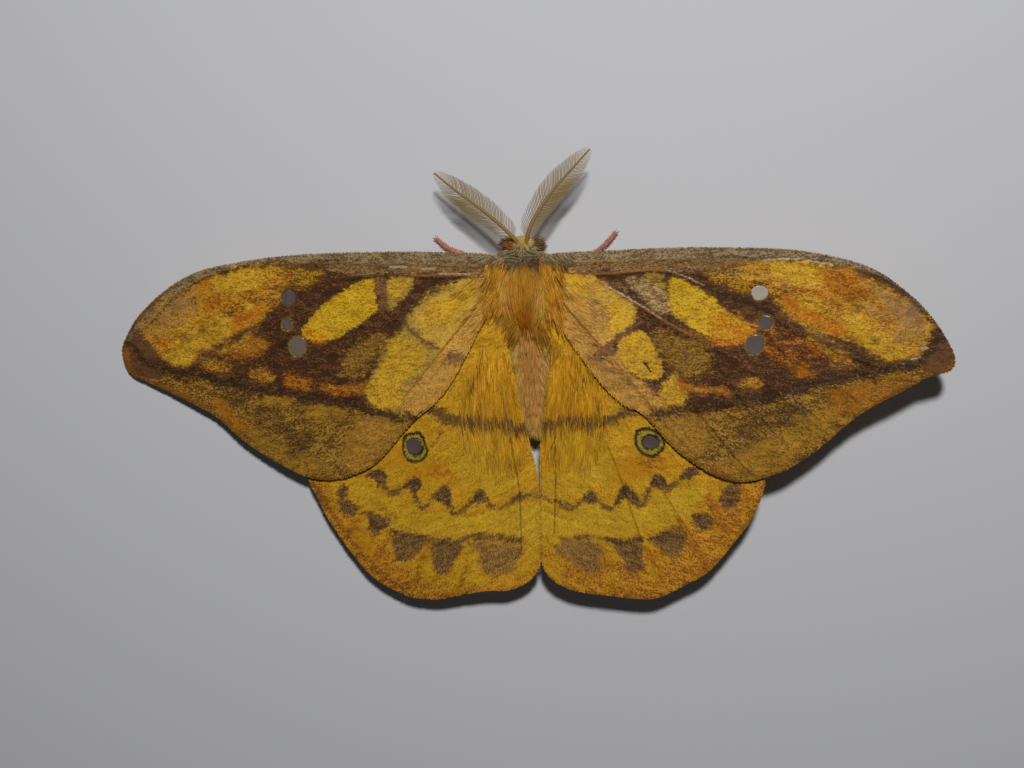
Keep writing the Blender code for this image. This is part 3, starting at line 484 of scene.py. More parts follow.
# %% Marks of the forewings
FOREWING_MARKS = {
    "forewing_right": (
        "patch olive 1.6 1 646,412 700,408 745,404 790,392 830,380 863,374 905,366 940,340 "
        "975,340 960,420 740,520 630,470",
        "patch pink_ochre 1.6 0.8 640,416 700,412 704,450 676,462 640,440",
        "patch costal_brown 0.8 0.8 556,256 640,257 757,258 750,268 700,270 640,270 560,270",
        "patch costal_grey 0.3 0.95 540,247 640,247 760,250 850,256 905,276 945,322 938,322 "
        "898,286 846,266 760,260 640,260 545,262",
        "patch peach 1.4 1 552,274 600,284 632,306 628,330 610,346 650,408 560,350 540,300",
        "patch pale_yellow 1.2 1 556,275 590,276 612,290 634,308 628,328 606,338 590,300 566,292",
        "patch bright_yellow 0.9 0.95 562,277 584,279 592,290 574,290",
        "patch bright_yellow 0.9 0.95 602,302 622,304 633,314 626,328 612,334 604,326",
        "patch pink_tan 1 0.6 590,296 606,304 612,322 600,330 588,314",
        "patch peach 1.2 0.9 548,292 566,292 600,340 648,402 632,418 584,382 540,330",
        "line gold 1.8 0.7 0.5 544,306 556,340 584,376 616,404",
        "patch pink_tan 1.2 0.4 560,300 600,346 640,398 620,396 580,350",
        "patch bright_yellow 0.5 1 617,346 622,337 636,331 645,333 653,344 659,358 663,372 "
        "656,379 644,379 630,372 620,362 615,353",
        "line ring_black 0.15 1 0.17 644,362.5 647,366 649.6,371",
        "patch purple_brown 1 0.6 606,360 616,366 634,378 650,384 662,382 672,376 676,384 "
        "664,392 640,392 616,378",
        "patch bright_yellow 0.9 0.85 664,378 676,372 684,386 684,402 668,406 660,394",
        "patch peach 1.2 0.8 636,380 656,394 662,406 648,408",
        "patch olive_gold 2 0.85 654,334 678,332 706,344 710,370 690,380 668,370 658,352",
        "line rust_red 1.2 0.95 0.55 678,380 690,387 710,391 726,391",
        "line gold_fleck 0.8 0.85 0.28 684,388 700,390 722,390",
        "patch gold_fleck 1.2 0.85 738,378 750,376 762,380 756,388 742,388",
        "patch rust_red 2 0.45 766,330 800,330 830,345 820,362 790,366 764,352",
        "patch gold_fleck 1.6 0.55 804,336 824,338 846,352 836,358 812,350",
        "patch gold_fleck 1.4 0.7 828,352 850,354 858,364 838,368",
        "patch rust_gold 1.4 0.7 786,366 806,364 814,374 796,380",
        "patch gold_on_dark 1.4 0.95 700,266 722,265 750,266 776,272 780,284 752,291 730,288 "
        "710,280",
        "patch oval_yellow 0.5 1 671,278 685,282 701,290 716,302 730,313 741,320 751,331 740,341 "
        "728,340 712,337 695,330 681,321 669,309 668,293",
        "patch oval_orange 2.6 0.6 704,326 726,314 741,319 753,331 741,343 722,342 704,336",
        "patch red_orange 1.4 0.6 736,328 748,324 755,332 742,344 730,342",
        "line red_orange 0.8 0.85 0.28 706,338 722,342 740,343 752,333",
        "patch scratch 1 0.8 628,279 648,281 664,292 668,312 656,310 640,298",
        "patch dull_yellow 0.9 0.7 644,274 664,276 668,292 656,290",
        "patch apex_yellow 1.4 1 742,264 780,262 842,268 884,286 922,314 944,340 920,354 896,362 "
        "872,352 846,338 812,330 786,312 768,292 742,280",
        "patch gold_fleck 1.2 0.9 750,276 776,286 800,290 824,310 846,330 820,334 790,316 "
        "764,294",
        "patch bright_yellow 1.2 1 768,264 800,262 822,268 824,284 800,288 780,278",
        "patch rust_gold 1.4 0.8 816,268 846,270 870,280 868,296 846,300 828,290",
        "patch bright_yellow 0.9 1 798,300 812,300 820,310 810,316 800,312",
        "line red_orange 1.2 1 0.75 786,300 800,312 822,322 840,330",
        "line rust_gold 1 0.7 0.5 800,288 824,296 840,308",
        "patch tan 2.2 0.75 862,280 896,296 926,322 934,342 906,342 876,322 862,300",
        "patch pink_tan 1.2 0.8 880,292 914,306 928,326 912,334 892,316",
        "line rust_gold 1 0.6 0.5 862,290 880,306 888,320 896,334",
        "patch block_yellow 0.9 1 844,312 862,318 870,334 850,334",
        "patch block_yellow 0.9 0.95 864,332 882,336 890,349 868,347",
        "patch block_yellow 0.9 1 882,344 900,348 906,358 884,357",
        "patch olive 0.9 0.6 872,336 880,338 878,345 870,342",
        "patch olive 0.9 0.5 852,300 862,304 862,312 852,310",
        "patch tip_brown 1.4 0.95 930,334 944,328 962,348 958,376 934,376 920,366 926,352",
        "patch charcoal 0.9 0.8 932,332 944,328 946,340 936,344",
        "patch plum 0.9 0.6 902,297 918,300 922,314 906,314",
        "patch costal_brown 0.9 0.7 893,331 906,332 908,340 896,341",
        "patch white_scrape 0.3 0.9 902,364 911,358 920,357 914,364",
        "patch white_scrape 0.3 0.8 920,348 925,345 927,348 922,350",
        "line charcoal 1.5 0.95 0.62 938,336 930,350 920,360 896,367 866,374 838,377 814,383 "
        "790,391 770,397 742,403 716,406 690,410 656,414",
        "patch deep_olive 1.4 0.7 738,412 756,408 772,420 768,446 750,450 736,434",
        "patch deep_olive 1.4 0.7 776,404 798,398 808,410 804,426 782,426",
        "patch deep_olive 1.2 0.6 822,390 838,386 844,396 832,404 820,402",
        "patch ochre 1.4 0.9 716,470 744,450 760,440 780,436 800,420 830,410 836,420 800,452 "
        "780,472 744,484",
        "patch rust_gold 1.4 0.55 830,390 860,384 900,374 900,388 850,414 826,416",
        "line antemedial 0.6 0.95 0.38 641,322 630,328 618,336 609,346",
        "patch antemedial 1.2 0.7 584,352 600,344 614,350 606,362 590,362",
        "line pink_tan 0.8 0.5 0.3 604,286 616,284 624,290",
        "line edge_brown 0.6 0.9 0.4 958,352 944,373 915,384 880,402 850,426 820,454 795,472 "
        "765,482 735,482 712,468",
        "line edge_brown 0.3 0.9 0.2 560,250 640,247 700,246 760,247 810,250 862,259 908,282 "
        "947,328",
        "line charcoal 0.5 0.7 0.14 700,256 780,258 850,266 900,290 936,328",
        "line vein_brown 0.15 0.8 0.14 561,272 599,274 646,270 670,271",
        # The thin pale lines on the veins near the root are a painted highlight of their shine.
        "line vein_shine 0.1 0.7 0.08 666,270 681,275 692,280 704,286",
        "line vein_brown 0.2 0.9 0.16 596,281 607,286 629,300 645,309 662,320 690,335",
        "line vein_shine 0.1 0.8 0.06 604,285 629,299 645,308 660,318",
        "line vein_shine 0.1 0.7 0.08 764,260 785,259 805,260 832,265",
        "line vein_brown 0.15 0.85 0.14 554,292 576,319 599,344 607,352 618,366 652,408",
        "line charcoal 0.2 0.6 0.12 697,412 707,424 729,451 752,475",
        "line charcoal 0.2 0.55 0.12 752,407 768,426 787,447",
        "line charcoal 0.2 0.5 0.12 785,390 804,408 820,420",
        "line charcoal 0.2 0.5 0.12 828,377 842,390 855,400",
        "line charcoal 0.9 0.6 0.3 700,286 740,300 768,312 830,346 870,366",
    ),
    "forewing_left": (
        "patch olive 1.6 1 410,420 350,408 300,400 250,392 215,382 180,375 150,370 128,350 "
        "100,360 140,440 300,510 410,470",
        "patch pink_ochre 1.6 0.8 410,416 366,414 346,440 350,470 390,462",
        "patch costal_brown 0.8 0.8 500,262 400,262 330,264 340,274 400,274 500,272",
        "patch costal_grey 0.3 0.95 500,252 400,253 300,255 230,261 180,281 140,321 128,340 "
        "136,336 184,290 235,268 300,264 400,264 500,264",
        "patch dull_yellow 1.4 1 492,276 440,288 414,306 396,336 368,388 372,408 404,412 450,360 "
        "495,300",
        "patch pale_yellow 1.2 0.95 488,278 452,288 418,308 418,332 444,346 468,320",
        "patch bright_yellow 1 0.9 478,284 450,294 430,306 424,322 444,326 464,306",
        "patch peach 1.2 0.9 484,296 446,346 404,400 426,414 466,386 506,330",
        "line gold 1.8 0.8 0.5 494,306 484,340 462,374 436,406",
        "patch bright_yellow 1.2 0.9 394,338 422,346 424,362 404,384 384,392 376,380 384,356",
        "patch bright_yellow 1 0.95 368,382 388,386 404,396 396,408 372,406",
        "patch olive_gold 1.8 0.85 388,336 376,362 356,378 340,372 346,352 366,336",
        "line rust_red 1.2 0.9 0.5 322,386 340,391 364,389",
        "line gold_fleck 0.9 0.9 0.32 326,386 344,390 362,386",
        "patch rust_red 1.4 0.85 284,376 300,376 312,384 300,390 286,386",
        "patch gold_fleck 1.2 0.75 250,366 266,367 274,378 262,383 252,376",
        "patch rust_red 2 0.8 222,336 246,334 270,340 266,354 240,360 220,350",
        "patch gold_fleck 1.4 0.6 226,340 256,338 266,346 240,356",
        "patch gold_fleck 1.2 0.8 200,360 220,360 234,366 226,374 206,370",
        "patch gold_on_dark 1.6 0.8 268,270 296,268 322,270 318,282 296,288 274,284",
        "patch oval_yellow 0.5 1 379,277 360,282 343,291 328,301 314,315 304,329 303,337 317,341 "
        "335,338 350,330 364,321 377,310 375,292",
        "patch oval_orange 1.6 0.55 303,336 310,326 322,331 332,340 318,343",
        "patch dull_yellow 0.6 1 386,281 398,277 413,278 411,290 401,302 388,309",
        "patch bright_yellow 0.6 0.8 390,282 408,280 406,290 392,300",
        "patch antemedial 0.5 0.85 374,277 386,277 388,296 387,310 380,313 377,296",
        "patch apex_yellow 1.6 1 284,268 240,268 200,282 166,304 136,336 160,352 184,366 204,356 "
        "240,342 262,320 284,290",
        "patch gold_fleck 1.4 0.85 284,276 256,282 236,296 226,320 240,330 262,318 280,300",
        "patch bright_yellow 1.2 1 270,270 240,272 212,282 222,294 250,290 272,282",
        "patch bright_yellow 0.9 0.9 246,300 256,300 256,311 246,312",
        "line red_orange 1.2 0.95 0.6 206,282 198,292 190,304",
        "patch rust_gold 1.4 0.7 218,294 196,298 190,312 214,310 236,300",
        "line red_orange 1.2 1 0.75 262,308 246,318 228,328",
        "patch tan 2 0.85 198,288 176,296 150,318 146,334 170,332 196,312",
        "patch pink_tan 1 0.7 182,294 158,312 150,326 170,320 188,306",
        "patch olive_gold 1 0.6 172,306 180,306 180,318 172,318",
        "patch olive_gold 1 0.6 152,316 160,314 160,326 152,328",
        "patch block_yellow 0.9 1 176,330 196,320 232,318 226,336 200,346 176,344",
        "patch olive 1 0.7 200,325 208,324 208,333 200,334",
        "patch olive 1 0.6 214,320 221,319 221,328 214,328",
        "patch olive 1 0.6 182,332 189,332 189,342 182,342",
        "patch olive 0.9 0.6 190,295 196,295 197,305 190,305",
        "patch block_yellow 1 1 164,348 182,346 194,356 186,366 168,362",
        "patch rust_gold 1.2 0.7 156,338 170,338 172,350 160,352",
        "patch tip_brown 1.4 0.95 140,330 126,344 118,376 160,378 158,358 150,344",
        "line rust_gold 0.8 0.75 0.25 300,270 278,280 250,296 210,316 168,344",
        "line umber 1.2 0.9 0.45 278,312 256,326 226,344 198,356",
        "line charcoal 1 0.75 0.4 290,340 262,358 220,388",
        "line charcoal 1.5 0.9 0.6 132,344 150,364 180,373 215,380 250,388 282,393 305,398 "
        "336,402 375,410 404,420",
        "patch deep_olive 1.2 0.8 222,390 242,392 248,406 232,406",
        "patch deep_olive 1.4 0.7 254,408 276,404 290,420 280,432 258,426",
        "patch deep_olive 1.3 0.75 286,430 308,430 314,446 294,454",
        "patch ochre 1.2 0.9 262,398 284,398 290,406 270,406",
        "patch ochre 1.2 0.9 304,404 338,408 340,420 312,420",
        "patch rust_gold 1.4 0.8 216,396 232,410 250,426 242,432 222,416",
        "patch ochre 1.4 0.95 244,424 262,434 282,452 310,458 332,470 320,478 290,470 262,452",
        "line antemedial 0.6 0.9 0.36 402,320 412,332 423,340 438,348",
        "patch antemedial 1.1 0.6 444,352 462,350 460,364 446,364",
        "line edge_brown 0.6 0.95 0.42 126,350 134,375 170,390 205,408 235,434 262,458 296,476 "
        "334,480",
        "line edge_brown 0.3 0.9 0.2 490,254 400,251 300,253 232,260 180,280 136,322",
        "line charcoal 0.5 0.7 0.14 360,260 280,262 230,270 186,290 146,328",
        "line vein_brown 0.15 0.8 0.12 412,276 450,275 490,275",
        # The thin pale line on the vein near the root is a painted highlight of its shine.
        "line vein_shine 0.1 0.6 0.06 440,274 470,274 488,273",
        "patch white_scrape 0.2 0.5 390,266 408,266 408,268 390,268",
        "patch white_scrape 0.2 0.5 422,268 436,268 436,270 422,270",
        "line vein_brown 0.15 0.85 0.14 487,284 483,294 471,315 447,344 403,399",
        "line charcoal 0.2 0.6 0.12 317,396 296,420 272,442",
        "line charcoal 0.2 0.55 0.12 355,408 338,430 318,452",
        "line charcoal 0.2 0.5 0.12 288,374 262,394 244,414",
    ),
}
for wing, rings in WINDOWS.items():
    if wing.startswith("fore"):
        FOREWING_MARKS[wing] += tuple(
            "line window_ring 0.25 {} 0.2 {} {}".format(0.9 if k else 0.3, ring, ring.split()[0])
            for k, ring in enumerate(rings))
print({wing: len(marks) for wing, marks in FOREWING_MARKS.items()}, "marks")

# %% Marks of the hindwings
HINDWING_MARKS = {
    "hindwing_right": (
        "patch hind_orange 2.2 1 540,546 600,560 646,552 690,530 722,500 745,476 790,470 740,600 "
        "560,640 530,600",
        "patch gold 1.6 0.7 540,540 560,544 560,590 545,590",
        "patch gold 1.8 0.6 602,560 616,566 622,590 606,592",
        "patch gold 1.6 0.6 646,562 668,558 660,576 646,580",
        "patch bright_gold 1.4 1 540,504 600,508 640,502 676,488 700,488 690,514 640,532 600,535 "
        "540,534",
        "patch hind_red 1.8 0.9 612,462 636,456 664,456 680,470 650,474 622,484",
        "patch hind_rust 2 0.45 634,462 650,452 668,456 656,470 640,474",
        "patch bright_gold 2.4 0.8 552,432 600,430 612,460 604,484 560,490",
        "line hind_brown 1 1 0.72 546,426 567,421 592,421 613,418 626,412 660,402",
        "line hind_brown 1 0.85 0.4 540,494 552,497 560,502",
        "line hind_brown 0.9 1 0.3 558,501 567,507 576,506 589,494 598,501 611,509 617,503 "
        "626,488 632,500 640,506 647,496 656,479 666,489 673,485 686,472 698,470",
        "patch wedge 0.5 1 583,500 590,490 599,500 591,503",
        "patch wedge 0.5 1 614,504 625,483 639,500 631,503 625,496",
        "patch wedge 0.5 1 645,493 657,471 669,486 661,489 654,487",
        "patch wedge 0.5 0.9 678,478 688,466 698,472 689,478",
        "line wedge 0.8 0.95 0.3 562,539 588,537 609,539 624,541",
        "patch pink_brown 1.4 0.95 560,541 598,542 599,569 586,573 572,562 560,554",
        "patch pink_tan 1.2 0.4 564,543 592,543 588,551 566,552",
        "patch fringe_brown 0.8 0.95 612,542 640,540 643,558 640,571 629,572 621,560",
        "patch fringe_brown 0.8 0.95 652,538 682,532 684,546 676,556 665,553",
        "line wedge 0.7 1 0.36 608,541 626,541 641,538",
        "line wedge 0.7 1 0.36 650,538 662,534 674,528 683,531",
        "patch wedge 0.8 0.9 690,513 710,513 713,524 703,529 692,520",
        "patch wedge 0.9 0.9 718,496 730,484 739,484 739,500 730,508 719,502",
        "patch ring_black 0.2 1 635,430 650,427 663,437 664,448 655,457 645,456 635,446",
        "patch ring_yellow 0.2 1 638,433 650,430 661,438.5 661.5,447 654,453.6 646,453 637.6,445",
        "patch ring_black 0.2 1 641,437 648,433 656,434 660,440 659,447 652,450.6 645,449.6 "
        "640.6,444",
        "line hind_brown 0.5 0.7 0.18 577,365 589,389 602,408",
        "line charcoal 0.15 0.75 0.09 555,428 555.5,480 554,533",
        "line charcoal 0.2 0.5 0.11 607,443 617,468 630,507 642,541",
        "line charcoal 0.2 0.6 0.11 663,491 680,518 697,545",
        "line hind_rust 1 0.75 0.42 646,545 654,562 663,580",
        "line hind_rust 1 0.75 0.42 680,520 692,542 706,564",
        "line hind_rust 1 0.75 0.35 707,495 718,514 728,530",
        "line hind_rust 1.4 0.7 0.35 690,506 704,504 714,508",
        "line hind_rust 1 0.7 0.3 604,556 611,578 614,596",
        "line edge_brown 1.4 0.85 0.4 552,584 560,592 600,597 640,600 672,592 706,574 735,545 "
        "762,498",
    ),
    "hindwing_left": (
        "patch hind_orange 2.2 1 540,552 520,574 470,584 430,576 394,556 366,526 336,504 318,478 "
        "290,480 360,600 460,640 545,600",
        "patch gold 1.6 0.7 523,545 540,545 538,580 522,580",
        "patch gold 1.6 0.6 458,562 476,556 486,578 462,584",
        "patch gold 1.6 0.6 408,566 428,556 434,580 414,582",
        "patch bright_gold 1.4 1 540,500 500,512 460,516 420,510 384,498 362,486 350,490 376,512 "
        "400,528 440,536 500,534 540,540",
        "patch hind_red 1.8 0.9 394,440 404,446 406,462 440,462 458,478 424,478 398,462",
        "patch hind_rust 2 0.4 436,462 452,470 462,484 446,482 432,474",
        "patch bright_gold 2.4 0.8 512,434 466,434 456,462 466,486 512,490",
        "line hind_brown 1 1 0.78 400,398 424,408 438,412 455,420 482,421 503,423 522,428",
        "line hind_brown 0.9 1 0.3 365,476 378,471 385,486 392,494 402,487 416,479 416,498 "
        "423,508 432,499 446,487 449,502 456,514 464,509 481,491 489,503 499,508 510,503 520,495",
        "line hind_brown 1 0.85 0.45 510,500 526,494 538,495",
        "patch wedge 0.5 1 367,475 378,469 388,476 385,481 378,487 375,479",
        "patch wedge 0.5 1 402,487 418,477 422,485 413,494 409,489",
        "patch wedge 0.5 1 434,497 447,485 452,495 449,504 441,502",
        "patch wedge 0.5 0.9 472,502 482,489 489,500 479,503",
        "line wedge 0.9 0.95 0.42 466,536 495,536 522,540",
        "patch pink_brown 1.4 0.95 472,541 520,545 519,562 505,573 484,571 478,553",
        "patch wedge 0.9 0.9 340,484 348,486 348,500 361,507 351,516 339,509",
        "patch wedge 0.9 0.95 369,512 391,522 384,528 378,536 368,531",
        "patch hind_red 1.6 0.6 348,526 366,530 376,548 368,560 352,546",
        "patch fringe_brown 0.8 0.95 393,534 426,540 418,552 411,560 401,563 394,555",
        "patch fringe_brown 0.8 0.95 431,543 464,543 457,556 450,573 435,573 432,558",
        "line wedge 0.7 1 0.36 392,531 410,535 430,538 448,542 467,539",
        "patch ring_black 0.2 1 402.5,440 406,433 420,431 425,436 426,443 429.5,450 424,460 "
        "413,463 405,458 403,449",
        "patch ring_yellow 0.2 1 404.8,441 408,435.6 419,434 422.6,438 424,445 427,450 "
        "422.4,457.6 413,460 407,455.6 405,448.6",
        "patch ring_black 0.2 1 406.4,442 410,437.6 418,437.6 421.6,443 424.6,448 421,455 "
        "413.6,457 408.6,453 406.6,447.6",
        "line charcoal 0.15 0.75 0.09 503,397 510,437 517,475 520,500 521.6,555",
        "line charcoal 0.15 0.6 0.09 480,395 481,414",
        "line hind_brown 0.5 0.7 0.18 483,347 478,370 467,396",
        "line hind_brown 0.6 0.7 0.15 442,430 436,440 430,449",
        "line hind_rust 1 0.75 0.42 428,541 422,560 416,580",
        "line hind_rust 1 0.75 0.42 390,534 384,548 377,560",
        "line hind_rust 1 0.75 0.35 364,512 356,524 348,532",
        "line hind_rust 1.4 0.6 0.35 370,500 384,510 396,516",
        "line hind_rust 1 0.7 0.3 468,554 464,574 460,592",
        "line edge_brown 1.4 0.85 0.45 530,586 500,592 440,597 400,588 360,552 325,500 314,482",
    ),
}
GROUND = {"forewing": "umber", "hindwing": "gold"}


def read_mark(text):
    """A mark's kind and pigment, its numbers, and its points."""
    kind, pigment, *rest = text.split()
    numbers = [float(word) for word in rest if "," not in word]
    return kind, pigment, numbers, points_in(" ".join(word for word in rest if "," in word))


wing_marks = {wing: [read_mark(text) for text in {**FOREWING_MARKS, **HINDWING_MARKS}[wing]]
              for wing in WINGS}
print({wing: len(marks) for wing, marks in HINDWING_MARKS.items()}, "marks")

# %% Paint the wings
FRAY = 0.5                  # how far, in millimetres, the marks' edges run out along the grain
EDGE_SPREAD = 1.35          # how much wider the soft edges are than a mark says
FLECK = 0.8                 # how far soft edges break up into flecks
STREAK = 0.45               # how much the share of second scales swings from streak to streak
MOTTLE = 0.16               # how much the brightness swings
PEPPER = 0.32               # how dark the sprinkled dark scales are


def pigment_row(name):
    """Main colour, second colour and share of the second, as one row."""
    main, second, share = PIGMENTS[name]
    return np.hstack([own_colour(main), own_colour(second), share])


def grain(wing, spots):
    """Places along the grain of a wing, which runs from its root: scales lie long that way."""
    way = 1 if wing.endswith("right") else -1
    away = spots - np.array((way * 1.0, 13.0))
    radius = np.hypot(*away.T)
    turn = np.arctan2(away[:, 1], away[:, 0] * way)
    return np.column_stack([radius * 0.4, turn * np.maximum(radius, 6.0)])


def fray_shift(wing, spots):
    """How far places are moved, mostly along the grain, to fray what is painted there into tongues
    of scales."""
    along = grain(wing, spots)
    way = spots - np.array((1.0 if wing.endswith("right") else -1.0, 13.0))
    way /= np.maximum(np.hypot(*way.T), 0.1)[:, None]
    run = 0.6 * noise(along, 1.3, 3) + 0.6 * noise(along, 3.2, 5)
    aside = 0.5 * noise(spots, 0.9, 4) + 0.3 * noise(spots, 2.6, 6)
    return FRAY * (way * run[:, None] + np.column_stack([-way[:, 1], way[:, 0]]) * aside[:, None])


def mark_cover(kind, line, soft, spots, width=0.0):
    """How fully one mark covers each place, from 0 to 1."""
    cover = np.zeros(len(spots))
    reach = soft + width + 0.1
    near = np.all((spots > line.min(0) - reach) & (spots < line.max(0) + reach), axis=1)
    if not near.any():
        return cover
    gap = gap_to(line, spots[near], closed=kind == "patch")
    if kind == "patch":
        gap = np.where(inside(line, spots[near]), -gap, gap)
    cover[near] = 1 - ease(gap, width - soft / 2, width + soft / 2)
    return cover


def paint(wing, spots):
    """Pigment rows at places on a wing: the ground, with each mark laid over it. A soft mark breaks
    up at its edge into flecks that run along the grain, as rows of scales do."""
    rows = np.tile(pigment_row(GROUND[kind_of(wing)]), (len(spots), 1))
    shift = fray_shift(wing, spots)
    along = grain(wing, spots)
    flecks = [np.clip(0.5 + 0.35 * noise(along, 4.0, seed) + 0.3 * noise(along, 1.6, seed + 1)
                      + 0.4 * noise(along, 12.0, seed + 2), 0.15, 0.86) for seed in (71, 75, 79)]
    for k, (kind, pigment, (soft, strength, *width), points) in enumerate(wing_marks[wing]):
        line = smooth_line(on_wing(wing, points), 0.8, closed=kind == "patch")
        if soft <= 0.3:
            cover = mark_cover(kind, line, soft, spots, *width) * strength
        else:
            ragged = spots + shift * min(1.0, soft / 1.2)
            cover = mark_cover(kind, line, soft * EDGE_SPREAD, ragged, *width) * strength
            cover += FLECK * (ease(cover - flecks[k % 3], -0.15, 0.15) - cover)
        rows += cover[:, None] * (pigment_row(pigment) - rows)
    streak = 0.6 * noise(along, 1.6, 51) + 0.6 * noise(along, 4.0, 52)
    rows[:, 6] = np.clip(rows[:, 6] + STREAK * streak, 0, 1)
    mottle = 0.5 * noise(along, 1.1, 53) + 0.5 * noise(along, 2.7, 54) + 0.4 * noise(spots, 0.35, 55)
    pepper = ease(noise(along, 9.0, 56) + 0.6 * noise(along, 1.8, 57), 0.5, 1.0)
    rows[:, :6] *= ((1 + MOTTLE * mottle) * (1 - PEPPER * pepper))[:, None]
    return rows


print("painting with", FRAY, "mm of fray")

# %% [markdown]
# ## Finish of the scales
#
# Under a lens a moth's wing is a mosaic of single scales, each of one colour and about a tenth of a
# millimetre wide, with a soft sheen along its ridges. A shader node group makes that mosaic: cells
# that are long from root to tip take one pigment's main or second colour, and vary a little in
# brightness. It is one group because the skins of all four wings and of the body use it.

# %% The scale mosaic
CELLS_PER_MM = 6.5
DRIFT, DRIFT_SCALE = 1.1, 1.3       # how far the share of second scales drifts, and how often


def new_group(name, inputs, outputs):
    """An empty shader group with named sockets."""
    group = bpy.data.node_groups.new(name, "ShaderNodeTree")
    for label, kind, value in inputs:
        socket = group.interface.new_socket(name=label, in_out="INPUT", socket_type=kind)
        if value is not None:
            socket.default_value = value
    for label, kind in outputs:
        group.interface.new_socket(name=label, in_out="OUTPUT", socket_type=kind)
    return group, group.nodes.new("NodeGroupInput"), group.nodes.new("NodeGroupOutput")


def fill(group, socket, value):
    """Give an input a plain value, or the output of another node."""
    if isinstance(value, bpy.types.NodeSocket):
        group.links.new(value, socket)
    else:
        socket.default_value = value


def math_node(group, operation, first, second):
    """A math node whose inputs are sockets or plain numbers."""
    node = group.nodes.new("ShaderNodeMath")
    node.operation = operation
    fill(group, node.inputs[0], first)
    fill(group, node.inputs[1], second)
    return node.outputs[0]


def mixed(group, share, first, second, blend="MIX"):
    """A colour between two, by a share."""
    node = group.nodes.new("ShaderNodeMix")
    node.data_type, node.blend_type = "RGBA", blend
    for socket, value in zip((node.inputs["Factor"], *node.inputs[6:8]), (share, first, second)):
        fill(group, socket, value)
    return node.outputs[2]


def build_mosaic():
    """Scales as cells of two colours along the grain of a wing."""
    group, start, end = new_group(
        "scale_mosaic",
        (("Tint", "NodeSocketColor", None), ("Fleck", "NodeSocketColor", None),
         ("Share", "NodeSocketFloat", 0.3), ("Grain", "NodeSocketVector", None),
         ("Cells", "NodeSocketFloat", CELLS_PER_MM), ("Contrast", "NodeSocketFloat", 0.35)),
        (("Color", "NodeSocketColor"), ("Height", "NodeSocketFloat")))
    cells = group.nodes.new("ShaderNodeTexVoronoi")
    fill(group, cells.inputs["Vector"], start.outputs["Grain"])
    fill(group, cells.inputs["Scale"], start.outputs["Cells"])
    parts = group.nodes.new("ShaderNodeSeparateColor")
    fill(group, parts.inputs[0], cells.outputs["Color"])
    drift = group.nodes.new("ShaderNodeTexNoise")
    fill(group, drift.inputs["Vector"], start.outputs["Grain"])
    fill(group, drift.inputs["Scale"], DRIFT_SCALE)
    fill(group, drift.inputs["Detail"], 3.0)
    shift = math_node(group, "MULTIPLY", math_node(group, "SUBTRACT", drift.outputs[0], 0.5),
                      DRIFT)
    share = math_node(group, "ADD", start.outputs["Share"], shift)
    second = math_node(group, "LESS_THAN", parts.outputs[0], share)
    colour = mixed(group, second, start.outputs["Tint"], start.outputs["Fleck"])
    swing = math_node(group, "MULTIPLY", math_node(group, "SUBTRACT", parts.outputs[1], 0.5),
                      start.outputs["Contrast"])
    level = group.nodes.new("ShaderNodeCombineColor")
    bright = math_node(group, "ADD", swing, 1.0)
    for socket in level.inputs[:3]:
        fill(group, socket, bright)
    lit = mixed(group, 1.0, colour, level.outputs[0], "MULTIPLY")
    fill(group, end.inputs["Color"], lit)
    fill(group, end.inputs["Height"], cells.outputs["Distance"])
    return group


mosaic = build_mosaic()


def named_value(nodes, name):
    """A node that reads a value stored on the mesh."""
    node = nodes.new("ShaderNodeAttribute")
    node.attribute_name = name
    return node


def bumped(nodes, links, shader, height, strength, depth):
    """Let the height of a pattern, in millimetres, turn the light on a finish."""
    bump = nodes.new("ShaderNodeBump")
    bump.inputs["Strength"].default_value = strength
    bump.inputs["Distance"].default_value = depth * MM
    links.new(height, bump.inputs["Height"])
    links.new(bump.outputs[0], shader.inputs["Normal"])
    return bump


def scale_finish(name, bump, roughness, sheen):
    """Finish of a wing's skin: the mosaic over its stored pigments."""
    made, nodes, links, shader = shader_of(name)
    cells = nodes.new("ShaderNodeGroup")
    cells.node_tree = mosaic
    for socket, stored, output in (("Tint", "tint", "Color"), ("Fleck", "fleck", "Color"),
                                   ("Share", "share", "Fac"), ("Grain", "grain", "Vector")):
        links.new(named_value(nodes, stored).outputs[output], cells.inputs[socket])
    bumped(nodes, links, shader, cells.outputs["Height"], bump, 0.05)
    links.new(cells.outputs["Color"], shader.inputs["Base Color"])
    shader.inputs["Roughness"].default_value = roughness
    shader.inputs["Specular IOR Level"].default_value = 0.12
    shader.inputs["Sheen Weight"].default_value = sheen
    shader.inputs["Sheen Roughness"].default_value = 0.4
    return made


wing_finish = scale_finish("wing_scales", 0.3, 0.6, 0.0)
print("scale mosaic with", CELLS_PER_MM, "cells a millimetre")

# %% [markdown]
# ## Wing sheets
#
# The sheet of a wing is an even lattice of points inside its outline. They are joined into triangles
# in a way that keeps the outline and the rims of the windows as edges. A subdivided plane would give
# stairs along the outline. The top and the bottom are the same sheet at two levels, joined by walls
# round the rim and round each window.

# %% Wing sheets
UNDERSIDE_TONE = (136, 104, 48)
UNDERSIDE_FADE = 0.35       # how far the underside's pigments fade towards that dull tone


def lattice(outline, spacing):
    """Evenly spread places inside an outline, in rows that are set half a step apart."""
    low, high = outline.min(0), outline.max(0)
    rows = []
    for k, y in enumerate(np.arange(low[1], high[1], spacing * 0.866)):
        x = np.arange(low[0] + (k % 2) * spacing / 2, high[0], spacing)
        rows.append(np.column_stack([x, np.full(len(x), y)]))
    return np.vstack(rows)


